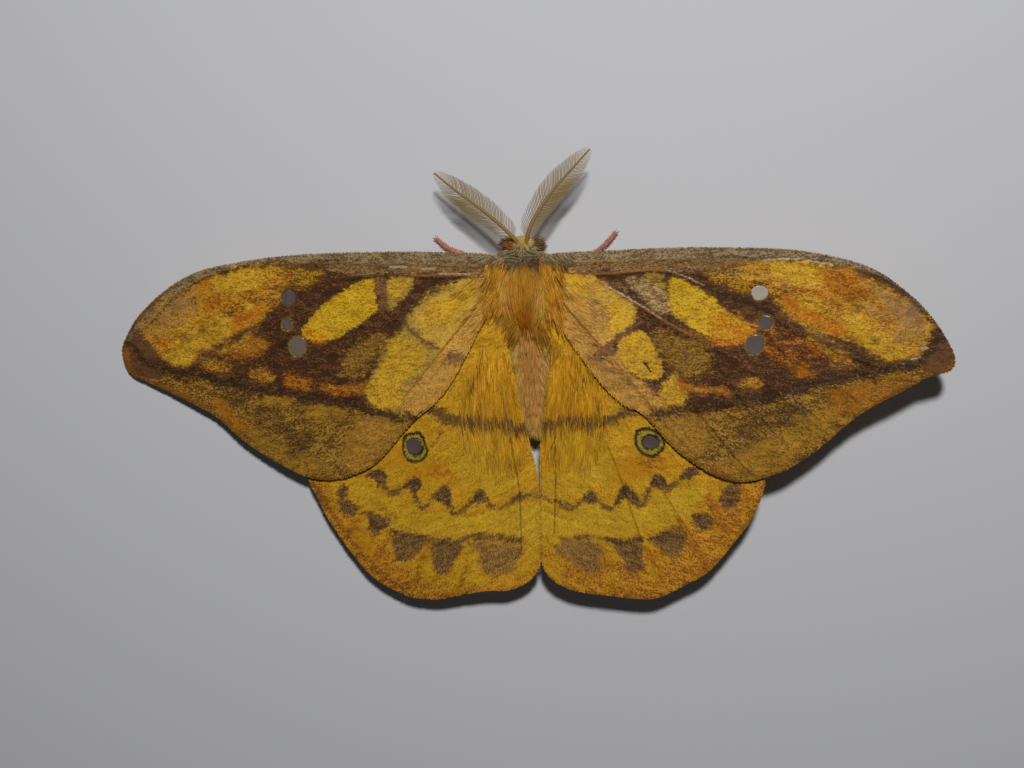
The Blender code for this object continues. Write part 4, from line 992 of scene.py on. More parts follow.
def flat_sheet(wing, spacing):
    """Points and triangles of a wing seen from above, with its windows left open."""
    outline, rings = outlines[wing], windows[wing]
    places = lattice(outline, spacing)
    keep = inside(outline, places) & (gap_to(outline, places, True) > spacing * 0.5)
    for ring in rings:
        keep &= ~inside(ring, places) & (gap_to(ring, places, True) > spacing * 0.5)
    points = np.vstack([outline, *rings, places[keep]])
    loops, first = [], 0
    for ring in (outline, *rings):
        loops.append(list(range(first, first + len(ring))))
        first += len(ring)
    edges = [(loop[i], loop[(i + 1) % len(loop)]) for loop in loops[1:] for i in range(len(loop))]
    made = delaunay_2d_cdt([Vector(p) for p in points], edges, loops[:1], 1, 0.001)
    points = np.array([tuple(p) for p in made[0]])
    faces = np.array(made[2])
    middles = points[faces].mean(1)
    for ring in rings:
        solid = ~inside(ring, middles)
        faces, middles = faces[solid], middles[solid]
    return points, faces


def relief(wing, spots):
    """How far the sheet rises at its veins and sags between them."""
    nearest = np.full(len(spots), 1e9)
    rise = np.zeros(len(spots))
    for vein in veins[wing]:
        gap = gap_to(vein, spots)
        fade = 1 - ease(1 - gap_to(vein[-1:].repeat(2, 0), spots) / 9, 0, 1) * 0.7
        rise = np.maximum(rise, VEIN_HEIGHT * np.exp(-(gap / VEIN_WIDTH) ** 2) * fade)
        nearest = np.minimum(nearest, gap)
    sag = SAG_DEPTH * (1 - np.exp(-(nearest / SAG_WIDTH) ** 2))
    return rise - sag + 0.05 * noise(spots, 0.45, 9) + 0.02 * noise(spots, 1.5, 10)


def wing_height(wing, spots):
    """Height of a wing's upper face at places on it."""
    return skin_level(wing, spots[:, 0], spots[:, 1]) + relief(wing, spots)


def give_pigments(mesh, rows, along):
    """Store the pigment rows and the places along the grain on a skin."""
    give(mesh, "tint", rows[:, :3], "FLOAT_COLOR")
    give(mesh, "fleck", rows[:, 3:6], "FLOAT_COLOR")
    give(mesh, "share", rows[:, 6], "FLOAT")
    give(mesh, "grain", along)


def build_wing(wing):
    """The skin of one wing, painted on both faces."""
    flat, faces = flat_sheet(wing, LATTICE)
    top = wing_height(wing, flat)
    count = len(flat)
    points = np.vstack([np.column_stack([flat, top]), np.column_stack([flat, top - SHEET_THICK])])
    corners = flat[faces]
    turn = np.cross(corners[:, 1] - corners[:, 0], corners[:, 2] - corners[:, 0])
    faces[turn < 0] = faces[turn < 0][:, ::-1]
    edges = np.vstack([faces[:, [0, 1]], faces[:, [1, 2]], faces[:, [2, 0]]])
    known = {tuple(edge) for edge in edges.tolist()}
    rim = [(a, b) for a, b in known if (b, a) not in known]
    walls = [(a + count, b + count, b, a) for a, b in rim]
    all_faces = faces.tolist() + (faces[:, ::-1] + count).tolist() + walls
    obj = mesh_piece(wing + "_skin", points, all_faces, wing_finish)
    rows = paint(wing, flat)
    dull = own_colour(UNDERSIDE_TONE)
    under = rows.copy()
    under[:, :3] += UNDERSIDE_FADE * (dull - rows[:, :3])
    under[:, 3:6] += UNDERSIDE_FADE * (dull * 0.7 - rows[:, 3:6])
    give_pigments(obj.data, np.vstack([rows, under]),
                  np.tile(np.column_stack([grain(wing, flat), top * 0]), (2, 1)))
    return obj


for wing in WINGS:
    hand_over(build_wing(wing), kind_of(wing) + "_scales", wing)

# %% [markdown]
# ## Window membranes
#
# In the windows only the bare membrane is left: a clear grey mauve film, through which a little of
# the ground shows. Its tints are painted shade, the shadow on the ground under the wing, and in the
# right forewing's first window painted light, the lit ground below. Glass with refraction would hide
# the pale ground, so a thin film with partial cover and a gloss was chosen.

# %% Window membranes
FILM_THICK = 0.05
# One tint for each window: the dark ones paint the shadow on the ground below the wing, and the pale
# one paints lit ground.
FILM_SHADE_AND_LIGHT_TINTS = {"forewing_left": ((88, 74, 72), (92, 78, 74), (106, 92, 84)),
              "forewing_right": ((160, 152, 136), (88, 74, 72), (90, 78, 76)),
              "hindwing_left": ((84, 68, 70),), "hindwing_right": ((84, 68, 70),)}
film, nodes, links, shader = shader_of("window_film")
links.new(named_value(nodes, "tint").outputs["Color"], shader.inputs["Base Color"])
shader.inputs["Roughness"].default_value = 0.22
shader.inputs["Alpha"].default_value = 0.78
wrinkles = nodes.new("ShaderNodeTexNoise")
place = nodes.new("ShaderNodeTexCoord")
links.new(place.outputs["Object"], wrinkles.inputs["Vector"])
wrinkles.inputs["Scale"].default_value = 900.0
bumped(nodes, links, shader, wrinkles.outputs[0], 0.3, 0.1)


def build_films():
    """A thin clear disc in every window, sagging a little to its middle."""
    points, faces, tints = [], [], []
    for wing in WINGS:
        for k, ring in enumerate(windows[wing]):
            middle = ring.mean(0)
            rings = [middle + (ring - middle) * share for share in (1.06, 0.8, 0.5, 0.2)]
            flat = np.vstack([*rings, middle[None]])
            depth = np.repeat((0.06, 0.10, 0.12, 0.13, 0.13), [len(ring)] * 4 + [1])
            level = wing_height(wing, flat) - depth
            count, side = len(flat), len(ring)
            clockwise = np.cross(ring - middle, np.roll(ring, -1, axis=0) - middle).sum() < 0
            order = -1 if clockwise else 1
            first = len(points)
            points += np.column_stack([flat, level]).tolist()
            points += np.column_stack([flat, level - FILM_THICK]).tolist()
            tints += [own_colour(FILM_SHADE_AND_LIGHT_TINTS[wing][k])] * (2 * count)
            steps = [(i, (i + 1) % side) for i in range(side)]
            top = [(a + i, a + j, a + side + j, a + side + i)[::order]
                   for a in (0, side, 2 * side) for i, j in steps]
            top += [(3 * side + i, 3 * side + j, 4 * side)[::order] for i, j in steps]
            walls = [(i, i + count, j + count, j)[::order] for i, j in steps]
            below = [tuple(c + count for c in face[::-1]) for face in top]
            faces += [tuple(c + first for c in face) for face in top + below + walls]
    made = mesh_piece("window_films", points, faces, film)
    give(made.data, "tint", np.array(tints), "FLOAT_COLOR")
    return made


hand_over(build_films(), "forewing_scales")

# %% [markdown]
# ## A tree that grows a coat
#
# Hair, scales, rays and fringes are all the same thing to a modeller: one small shape, repeated over
# a surface, each turned along the lie of the coat. A Geometry Nodes tree does that for every coat
# here. It takes points that carry their lie, the way out of the skin, a size and a colour, and sets
# a small mesh on each. Particle hair would look alike, but would not survive an export.

# %% The growth tree
PATCH = 0.003               # width of one tuft's patch on its bake map


def build_growth():
    """Geometry Nodes: an instance on each point, turned and sized by the point's own values."""
    tree = bpy.data.node_groups.new("growth", "GeometryNodeTree")
    sockets = {}
    for label, kind, value in (("Geometry", "NodeSocketGeometry", None),
                               ("Tuft", "NodeSocketObject", None),
                               ("Length", "NodeSocketFloat", 1.0), ("Width", "NodeSocketFloat", 1.0),
                               ("Bend", "NodeSocketFloat", 1.0), ("Spread", "NodeSocketFloat", 0.2),
                               ("Seed", "NodeSocketInt", 1),
                               ("Finish", "NodeSocketMaterial", None)):
        socket = tree.interface.new_socket(name=label, in_out="INPUT", socket_type=kind)
        if value is not None:
            socket.default_value = value
        sockets[label] = socket.identifier
    tree.interface.new_socket(name="Geometry", in_out="OUTPUT", socket_type="NodeSocketGeometry")
    new, link = tree.nodes.new, tree.links.new
    start, end = new("NodeGroupInput"), new("NodeGroupOutput")

    def stored(name):
        node = new("GeometryNodeInputNamedAttribute")
        node.data_type = "FLOAT_VECTOR"
        node.inputs["Name"].default_value = name
        return node.outputs["Attribute"]

    def combined(kind, operation, *values):
        node = new("ShaderNode" + kind)
        node.operation = operation
        slots = node.inputs if operation != "SCALE" else (node.inputs[0], node.inputs["Scale"])
        for socket, value in zip(slots, values):
            fill(tree, socket, value)
        return node.outputs[0]

    tuft = new("GeometryNodeObjectInfo")
    link(start.outputs["Tuft"], tuft.inputs["Object"])
    turn = new("FunctionNodeAxesToRotation")
    turn.primary_axis, turn.secondary_axis = "Y", "Z"
    link(stored("lie"), turn.inputs[0])
    link(stored("out"), turn.inputs[1])
    sizes = new("ShaderNodeCombineXYZ")
    for socket, label in zip(sizes.inputs, ("Width", "Length", "Bend")):
        link(start.outputs[label], socket)
    chance = new("FunctionNodeRandomValue")
    for socket, operation in zip(chance.inputs[2:4], ("SUBTRACT", "ADD")):
        link(combined("Math", operation, 1.0, start.outputs["Spread"]), socket)
    link(start.outputs["Seed"], chance.inputs["Seed"])
    scale = combined("VectorMath", "MULTIPLY", stored("size"), sizes.outputs[0])
    scale = combined("VectorMath", "SCALE", scale, chance.outputs[1])
    grow = new("GeometryNodeInstanceOnPoints")
    for label, output in (("Points", start.outputs["Geometry"]), ("Scale", scale),
                          ("Instance", tuft.outputs["Geometry"]), ("Rotation", turn.outputs[0])):
        link(output, grow.inputs[label])
    realize = new("GeometryNodeRealizeInstances")
    link(grow.outputs[0], realize.inputs[0])
    bake_map = new("GeometryNodeStoreNamedAttribute")
    bake_map.data_type, bake_map.domain = "FLOAT2", "CORNER"
    bake_map.inputs["Name"].default_value = "OFBake"
    link(realize.outputs[0], bake_map.inputs["Geometry"])
    patch = combined("VectorMath", "SCALE", stored("patch"), PATCH)
    link(combined("VectorMath", "ADD", stored("root_uv"), patch), bake_map.inputs["Value"])
    finish = new("GeometryNodeSetMaterial")
    link(bake_map.outputs[0], finish.inputs["Geometry"])
    link(start.outputs["Finish"], finish.inputs["Material"])
    link(finish.outputs[0], end.inputs[0])
    return tree, sockets


growth, growth_sockets = build_growth()


def roots_of(place, lie, out, size, tint, root_uv):
    """The roots of a coat, with one row for each tuft in every list."""
    return {"place": place, "lie": lie, "out": out, "size": size, "tint": tint,
            "root_uv": root_uv}


def grow_coat(name, tuft, finish, roots, length=1.0, width=1.0, bend=1.0, spread=0.2):
    """A coat as one plain mesh. It is shaded flat: rounded shading would turn the thin edges of
    the tufts dark."""
    mesh = bpy.data.meshes.new(name)
    mesh.from_pydata((roots["place"] * MM).tolist(), [], [])
    for label in ("lie", "out", "size", "root_uv"):
        give(mesh, label, roots[label])
    give(mesh, "tint", roots["tint"], "FLOAT_COLOR")
    obj = bpy.data.objects.new(name, mesh)
    scene.collection.objects.link(obj)
    change = obj.modifiers.new("growth", "NODES")
    change.node_group = growth
    for label, value in (("Tuft", tuft), ("Length", length), ("Width", width), ("Bend", bend),
                         ("Spread", spread), ("Seed", 1), ("Finish", finish)):
        change[growth_sockets[label]] = value
    bpy.context.view_layer.update()
    graph = bpy.context.evaluated_depsgraph_get()
    made = bpy.data.meshes.new_from_object(obj.evaluated_get(graph))
    obj.modifiers.clear()
    obj.data = made
    made.shade_flat()
    return obj


print("growth tree with", len(growth.nodes), "nodes")

# %% [markdown]
# ## Tufts
#
# The coat is made of a few small shapes, each one unit long: a hair lock with a bend, which starts
# round and ends in a point, and a flat wing scale of four triangles. They carry how far along they
# are, so the finish can paint shade at the roots and light at the tips, and their own patch of the
# bake map.

# %% Tuft shapes
# Along, width and height of each section of a hair lock, before its point
HAIR_SECTIONS = ((0.0, 0.8, -0.03), (0.35, 1.0, 0.03), (0.75, 0.6, 0.04))
HAIR_KEEL = 0.012


def tuft_piece(name, points, faces):
    """A small mesh to repeat, one millimetre long along +Y, with its patch of the bake map."""
    obj = mesh_piece(name, points, faces)
    spots = np.asarray(points, float)
    wide = np.abs(spots[:, 0]).max() * 2
    patch = np.column_stack([spots[:, 0] / wide, spots[:, 1] - 0.5, np.zeros(len(spots))])
    give(obj.data, "patch", patch)
    give(obj.data, "along", spots[:, 1], "FLOAT")
    obj.hide_render = True
    return obj


def blade_tuft(name, sections, tip):
    """A flat blade of three sides with a point. A section is x, along, half width, low, high."""
    points, faces = [], [(0, 1, 2)]
    for x, along, half, low, high in sections:
        points += [(x - half, along, low), (x + half, along, low), (x, along, high)]
    last = len(points) - 3
    sides = ((0, 1), (1, 2), (2, 0))
    faces += [(a + i, a + i + 3, a + j + 3, a + j) for a in range(0, last, 3) for i, j in sides]
    faces += [(last + i, last + 3, last + j) for i, j in sides]
    return tuft_piece(name, points + [tip], faces)


def scale_tuft():
    """One wing scale: a thin keeled plate of four triangles."""
    points = [(0, 0, 0.0), (-0.5, 0.7, -0.01), (0.5, 0.7, -0.01), (0, 1, 0.0)]
    return tuft_piece("scale_tuft", points, [(0, 3, 1), (0, 2, 3), (0, 1, 2), (1, 3, 2)])


hair = blade_tuft("hair_tuft", [(0.0, along, wide / 2, low, low + HAIR_KEEL)
                                for along, wide, low in HAIR_SECTIONS], (0.0, 1.0, 0.01))
scale_shape = scale_tuft()


def build_root_to_tip():
    """A colour that runs from painted shade at a tuft's root to painted light at its tip."""
    group, start, end = new_group(
        "root_to_tip", (("Tint", "NodeSocketColor", None), ("Along", "NodeSocketFloat", 0.0),
                        ("Root", "NodeSocketFloat", 0.8), ("Tip", "NodeSocketFloat", 1.1)),
        (("Color", "NodeSocketColor"),))
    along = group.nodes.new("ShaderNodeMapRange")
    for label, output in (("Value", "Along"), ("To Min", "Root"), ("To Max", "Tip")):
        fill(group, along.inputs[label], start.outputs[output])
    tint = group.nodes.new("ShaderNodeVectorMath")
    tint.operation = "SCALE"
    fill(group, tint.inputs[0], start.outputs["Tint"])
    fill(group, tint.inputs["Scale"], along.outputs[0])
    fill(group, end.inputs["Color"], tint.outputs[0])
    return group


root_to_tip = build_root_to_tip()


def coat_finish(name, roughness, sheen, root_shade, tip_glow):
    """Finish of a coat: the stored colour, with painted shade at the roots and painted light at the
    tips.
    """
    made, nodes, links, shader = shader_of(name)
    tint = nodes.new("ShaderNodeGroup")
    tint.node_tree = root_to_tip
    links.new(named_value(nodes, "tint").outputs["Color"], tint.inputs["Tint"])
    links.new(named_value(nodes, "along").outputs["Fac"], tint.inputs["Along"])
    tint.inputs["Root"].default_value = root_shade
    tint.inputs["Tip"].default_value = tip_glow
    links.new(tint.outputs[0], shader.inputs["Base Color"])
    shader.inputs["Roughness"].default_value = roughness
    shader.inputs["Specular IOR Level"].default_value = 0.15
    shader.inputs["Sheen Weight"].default_value = sheen
    return made


# Each finish paints shade at the roots and light at the tips; the hair at the wing roots gets less
# painted shade and more painted light than the body's fur.
fur_finish = coat_finish("body_fur", 0.5, 0.05, 0.72, 1.12)
down_finish = coat_finish("root_hair", 0.5, 0.05, 0.88, 1.18)
scale_coat = coat_finish("scale_coat", 0.55, 0.0, 0.88, 1.06)
print("hair tuft and scale ready")

# %% [markdown]
# ## Scales on the wings
#
# The skin's mosaic is flat, so a layer of real scales lies over it, thin and overlapping like roof
# tiles, each pointing away from the wing's root. They take their colours from the same marks. Their
# count is kept to one per tenth of a millimetre or so along the veins, because single scales are
# smaller than a pixel of the photo.

# %% Wing scales
SCALE_SIZE = (0.32, 0.16)
SCALE_SPREAD = 0.15         # how much single scales differ in brightness
SCALE_RISE = 0.03
SCALES_PER_MM2 = 34.0
WING_ROOT = (0.0, 14.0)     # where the scales of all wings point away from


def wing_frame(wing, spots):
    """The lie and the way out of the skin at places on a wing."""
    step = 0.05
    here = wing_height(wing, spots)
    slope_x = (wing_height(wing, spots + (step, 0)) - here) / step
    slope_y = (wing_height(wing, spots + (0, step)) - here) / step
    away = unit(spots - WING_ROOT)
    lie = np.column_stack([away, slope_x * away[:, 0] + slope_y * away[:, 1]])
    return here, unit(lie), unit(np.column_stack([-slope_x, -slope_y, np.ones(len(spots))]))


def wing_uv(wing, spots):
    """Places on a wing's own flat unwrap, from 0 to 1."""
    low, high = outlines[wing].min(0), outlines[wing].max(0)
    span = (high - low).max()
    return np.column_stack([0.02 + 0.96 * (spots - low) / span, np.zeros(len(spots))])


def scattered(wing, density, margin, generator):
    """Random places on a wing, clear of its rim and windows."""
    outline = outlines[wing]
    low, high = outline.min(0), outline.max(0)
    spots = generator.uniform(low, high, (int(np.prod(high - low) * density), 2))
    keep = inside(outline, spots)
    spots = spots[keep]
    keep = gap_to(outline[::4], spots, True) > margin
    for ring in windows[wing]:
        keep &= ~inside(ring, spots) & (gap_to(ring, spots, True) > margin)
    return spots[keep]


def one_colour(rows, generator):
    """The main or the second colour of each pigment row, by the share of the second."""
    return np.where(generator.random((len(rows), 1)) < rows[:, 6:], rows[:, 3:6], rows[:, :3])


def scale_roots(wing, generator):
    """Roots of a wing's scales, coloured by its marks."""
    spots = scattered(wing, SCALES_PER_MM2, 0.12, generator)
    tint = one_colour(paint(wing, spots), generator)
    tint *= generator.uniform(1 - SCALE_SPREAD, 1 + SCALE_SPREAD, (len(spots), 1))
    level, lie, out = wing_frame(wing, spots)
    turn = generator.normal(0, 0.16, len(spots))
    swing = np.cross(out, lie)
    lie = lie * np.cos(turn)[:, None] + swing * np.sin(turn)[:, None] + out * SCALE_RISE
    return roots_of(np.column_stack([spots, level + 0.005]), lie, out, np.ones((len(spots), 3)),
                    np.clip(tint, 0, 0.95), wing_uv(wing, spots))


generator = np.random.default_rng(5)
for wing in WINGS:
    coat = grow_coat(wing + "_scales", scale_shape, scale_coat, scale_roots(wing, generator),
                     *SCALE_SIZE, 1.0, 0.25)
    hand_over(coat, kind_of(wing) + "_scales")

# %% [markdown]
# ## Body skin
#
# Head, thorax and abdomen are one body, so one skin stands for all three solids and no seam shows.
# It is a row of rings round a bent axis, through the same sections as the solids, drawn in a little
# at each ring of the abdomen. It stays just inside the solids, because the coat stands on it.

# %% Body skin
BODY = (                    # y, x, z, half width, half height above the axis and below it
    (20.8, 0.6, 7.4, 0.9, 0.9, 1.0), (20.2, 0.6, 7.7, 1.75, 1.6, 1.7),
    (19.5, 0.6, 7.9, 2.05, 1.9, 1.9), (18.8, 0.6, 8.0, 1.9, 1.8, 1.8),
    (18.5, 0.6, 8.1, 1.8, 1.8, 1.9), (17.6, 0.6, 8.4, 3.0, 2.9, 3.0), (16.0, 0.7, 8.5, 3.8, 3.7, 3.6),
    (13.6, 0.8, 8.5, 4.0, 4.0, 3.9), (11.2, 1.0, 8.2, 3.7, 3.8, 3.7), (9.4, 1.2, 7.7, 3.1, 3.1, 3.2),
    (8.2, 1.35, 7.3, 2.6, 2.5, 2.6), (5.5, 1.5, 7.0, 2.8, 2.5, 2.6), (2.0, 1.8, 6.6, 2.7, 2.3, 2.5),
    (-2.0, 1.9, 6.0, 2.2, 1.9, 2.1), (-5.0, 2.15, 5.5, 1.5, 1.3, 1.5),
    (-7.0, 2.4, 5.2, 0.7, 0.6, 0.7),
)
SKIN_INSET = 0.15
# The skin is painted darker than the fur over it, as the shade that lies under the fur.
SKIN_SHADE = 0.6            # how bright the skin is beside the fur over it
BODY_SIDES, BODY_SPACING = 56, 0.3
SEGMENTS = (6.4, 4.4, 2.4, 0.5, -1.3, -3.0, -4.6, -5.9)     # y of the rings of the abdomen
body_line = smooth_line(BODY, BODY_SPACING)[::-1]


def body_at(y, turn, lift=0.0):
    """Places on the body at y and at a turn round its axis, lifted off its skin."""
    y, turn = np.broadcast_arrays(np.asarray(y, float), turn)
    x, z, wide, up, down = (np.interp(y, body_line[:, 0], body_line[:, k]) for k in range(1, 6))
    pinch = sum(0.10 * np.exp(-((y - ring) / 0.16) ** 2) for ring in SEGMENTS)
    tall = np.where(np.sin(turn) > 0, up, down) - SKIN_INSET - pinch + lift
    wide = wide - SKIN_INSET - pinch + lift
    return np.stack([x + wide * np.cos(turn), y, z + tall * np.sin(turn)], -1)


BODY_PIGMENTS = {
    "fur_gold": ((154, 106, 24), (172, 128, 46), 0.4),
    "fur_orange": ((152, 96, 12), (138, 80, 10), 0.4),
    "fur_olive": ((142, 100, 26), (162, 128, 54), 0.4),
    "fur_peach": ((160, 110, 48), (174, 130, 68), 0.4),
    "fur_tan": ((160, 120, 46), (178, 142, 80), 0.4),
    "fur_collar": ((88, 76, 52), (136, 122, 90), 0.4),
    "fur_dark": ((84, 56, 28), (112, 84, 46), 0.35),
    "fur_pale": ((146, 120, 62), (168, 146, 88), 0.4),
    "fur_red": ((134, 78, 42), (88, 44, 32), 0.42),
}
PIGMENTS.update(BODY_PIGMENTS)
# Bands of the body from head to tail: y, pigment on the middle of the back, pigment on the sides
BODY_BANDS = (
    (22.0, "fur_pale", "fur_red"), (20.9, "fur_pale", "fur_red"), (20.0, "fur_pale", "fur_collar"),
    (19.7, "fur_collar", "fur_collar"), (19.2, "fur_collar", "fur_collar"),
    # The dark band at 17.5 and the dark sides at 17.1 are painted shadow under the collar's edge.
    (17.9, "fur_collar", "fur_collar"), (17.5, "fur_dark", "fur_dark"),
    (17.1, "fur_gold", "fur_dark"), (16.4, "fur_gold", "fur_olive"),
    (13.0, "fur_orange", "fur_olive"),
    (9.5, "fur_orange", "fur_olive"), (7.5, "fur_peach", "fur_tan"), (3.0, "fur_peach", "fur_tan"),
    (-3.0, "fur_peach", "fur_tan"), (-5.5, "fur_tan", "fur_tan"), (-7.5, "fur_tan", "fur_tan"),
)


def body_paint(y, turn):
    """Pigment rows on the body: the nearest bands, mixed from the back to the sides."""
    places = np.array([band[0] for band in BODY_BANDS])[::-1]
    middle = np.array([pigment_row(band[1]) for band in BODY_BANDS])[::-1]
    sides = np.array([pigment_row(band[2]) for band in BODY_BANDS])[::-1]
    y = y + 0.25 * noise(np.column_stack([turn * 3, y]), 1.4, 31)
    rows_middle = np.column_stack([np.interp(y, places, middle[:, k]) for k in range(7)])
    rows_sides = np.column_stack([np.interp(y, places, sides[:, k]) for k in range(7)])
    share = ease(np.abs(np.cos(turn)) + 0.12 * noise(np.column_stack([turn * 3, y]), 2.0, 32),
                 0.35, 0.85)
    return rows_middle + share[:, None] * (rows_sides - rows_middle)


def body_uv(y, turn):
    """Places on the body's own unwrap, from 0 to 1."""
    low, high = body_line[0, 0], body_line[-1, 0]
    share = (np.mod(turn + math.pi / 2, 2 * math.pi)) / (2 * math.pi)
    return np.column_stack([0.02 + 0.96 * share, 0.02 + 0.96 * (y - low) / (high - low),
                            np.zeros(len(y))])


skin_finish = scale_finish("body_skin", 0.6, 0.7, 0.05)


def build_body():
    """The skin of the whole body."""
    turns = np.arange(BODY_SIDES) * 2 * math.pi / BODY_SIDES
    y, turn = (grid.ravel() for grid in np.meshgrid(body_line[::-1, 0], turns, indexing="ij"))
    rings = body_at(y, turn)
    ends = [rings[:BODY_SIDES].mean(0) + (0, 0.25, 0), rings[-BODY_SIDES:].mean(0) - (0, 0.3, 0)]
    last = len(rings) - BODY_SIDES
    sides = [(i, (i + 1) % BODY_SIDES) for i in range(BODY_SIDES)]
    faces = [(a + i, a + j, a + BODY_SIDES + j, a + BODY_SIDES + i)
             for a in range(0, last, BODY_SIDES) for i, j in sides]
    for i, j in sides:
        faces += [(len(rings), j, i), (len(rings) + 1, last + i, last + j)]
    obj = mesh_piece("body_skin", np.vstack([rings, ends]), faces, skin_finish)
    y, turn = np.append(y, (y[0], y[-1])), np.append(turn, (0.0, 0.0))
    rows = body_paint(y, turn)
    # Painted shade: the skin under the fur is darker than the fur itself.
    rows[:, :6] *= SKIN_SHADE
    give_pigments(obj.data, rows, np.column_stack([y * 0.5, turn * 3, y * 0]))
    return obj


hand_over(build_body(), "thorax_fur", "head", "thorax", "abdomen")

# %% [markdown]
# ## Fur of the body
#
# Long silky hair covers the thorax and hides the roots of the wings, shorter hair lies along the
# abdomen, and a pale tuft stands between the antennae. Rows of values say how long the hair is along
# the body, how far it stands off and how it swings to the side. The growth tree sets the locks.

# %% Body fur
# y, length, width, lift (share of the length), swing to the middle (share), locks per square mm
FUR_ROWS = (
    (20.75, 0.4, 0.08, 0.25, 0.10, 100.0), (20.0, 0.5, 0.08, 0.20, 0.10, 100.0),
    (19.2, 1.0, 0.09, 0.14, -0.20, 70.0), (18.5, 1.2, 0.09, 0.12, -0.70, 64.0),
    (17.6, 1.5, 0.09, 0.10, -0.60, 60.0), (17.0, 2.0, 0.09, 0.10, -0.10, 56.0),
    (15.5, 2.9, 0.10, 0.09, 0.24, 50.0), (12.0, 3.2, 0.10, 0.08, 0.30, 48.0),
    (9.6, 2.8, 0.10, 0.07, 0.16, 50.0), (7.0, 1.8, 0.09, 0.12, 0.04, 52.0),
    (2.0, 1.5, 0.09, 0.13, -0.04, 54.0), (-3.0, 1.5, 0.09, 0.13, 0.00, 60.0),
    (-5.5, 1.6, 0.09, 0.10, 0.04, 80.0), (-7.0, 1.7, 0.09, 0.06, 0.10, 150.0),
)
FUR_TRIALS = 60000          # places tried, of which the rows above keep a share
PARTS = {"abdomen": (-7.0, 8.2), "thorax": (8.2, 18.6), "head": (18.6, 20.75)}


def skin_frame(y, turn):
    """Place, way to the tail, way round the body and way out of the skin."""
    place = body_at(y, turn, -0.03)
    ahead = unit(body_at(y - 0.2, turn) - body_at(y + 0.2, turn))
    around = unit(body_at(y, turn + 0.05) - body_at(y, turn - 0.05))
    out = np.cross(around, ahead)
    out *= np.sign((out * (place - body_at(y, turn, -1.0))).sum(1))[:, None]
    return place, ahead, around, out


def dipped(rows, clump, generator):
    """One colour for each lock, from its pigment row, varied from lock to lock and clump to clump."""
    tint = one_colour(rows, generator)
    tint = tint * (generator.uniform(0.84, 1.16, len(rows)) * (1 + 0.2 * clump))[:, None]
    return np.clip(tint, 0, 0.95)


def fur_roots(low, high, generator):
    """Roots of the fur between two places along the body."""
    rows = np.array(FUR_ROWS)[::-1]
    count = FUR_TRIALS
    y = generator.uniform(low, high, count)
    turn = generator.uniform(0, 2 * math.pi, count)
    wide = np.interp(y, body_line[:, 0], body_line[:, 3])
    density = np.interp(y, rows[:, 0], rows[:, 5])
    share = density * 2 * math.pi * wide * (high - low) / count
    share *= np.where(np.sin(turn) > -0.25, 1.0, 0.35)      # thinner underneath
    keep = generator.random(count) < share
    y, turn = y[keep], turn[keep]
    length, width, lift, swing = (np.interp(y, rows[:, 0], rows[:, k]) for k in range(1, 5))
    place, ahead, around, out = skin_frame(y, turn)
    aside = -around * np.sign(np.cos(turn))[:, None]
    clump = noise(np.column_stack([turn * 4, y * 0.5]), 0.8, 41)
    swing = swing * np.minimum(1, 2.5 * np.abs(np.cos(turn)))
    sway = (-swing + 0.16 * clump + generator.normal(0, 0.08, len(y)))[:, None]
    stand = (lift * generator.uniform(0.4, 1.4, len(y)))[:, None]
    size = np.column_stack([width, length, length]) * generator.uniform(0.7, 1.25, (len(y), 1))
    return roots_of(place, ahead + aside * sway + out * stand, out, size,
                    dipped(body_paint(y, turn), clump, generator), body_uv(y, turn))


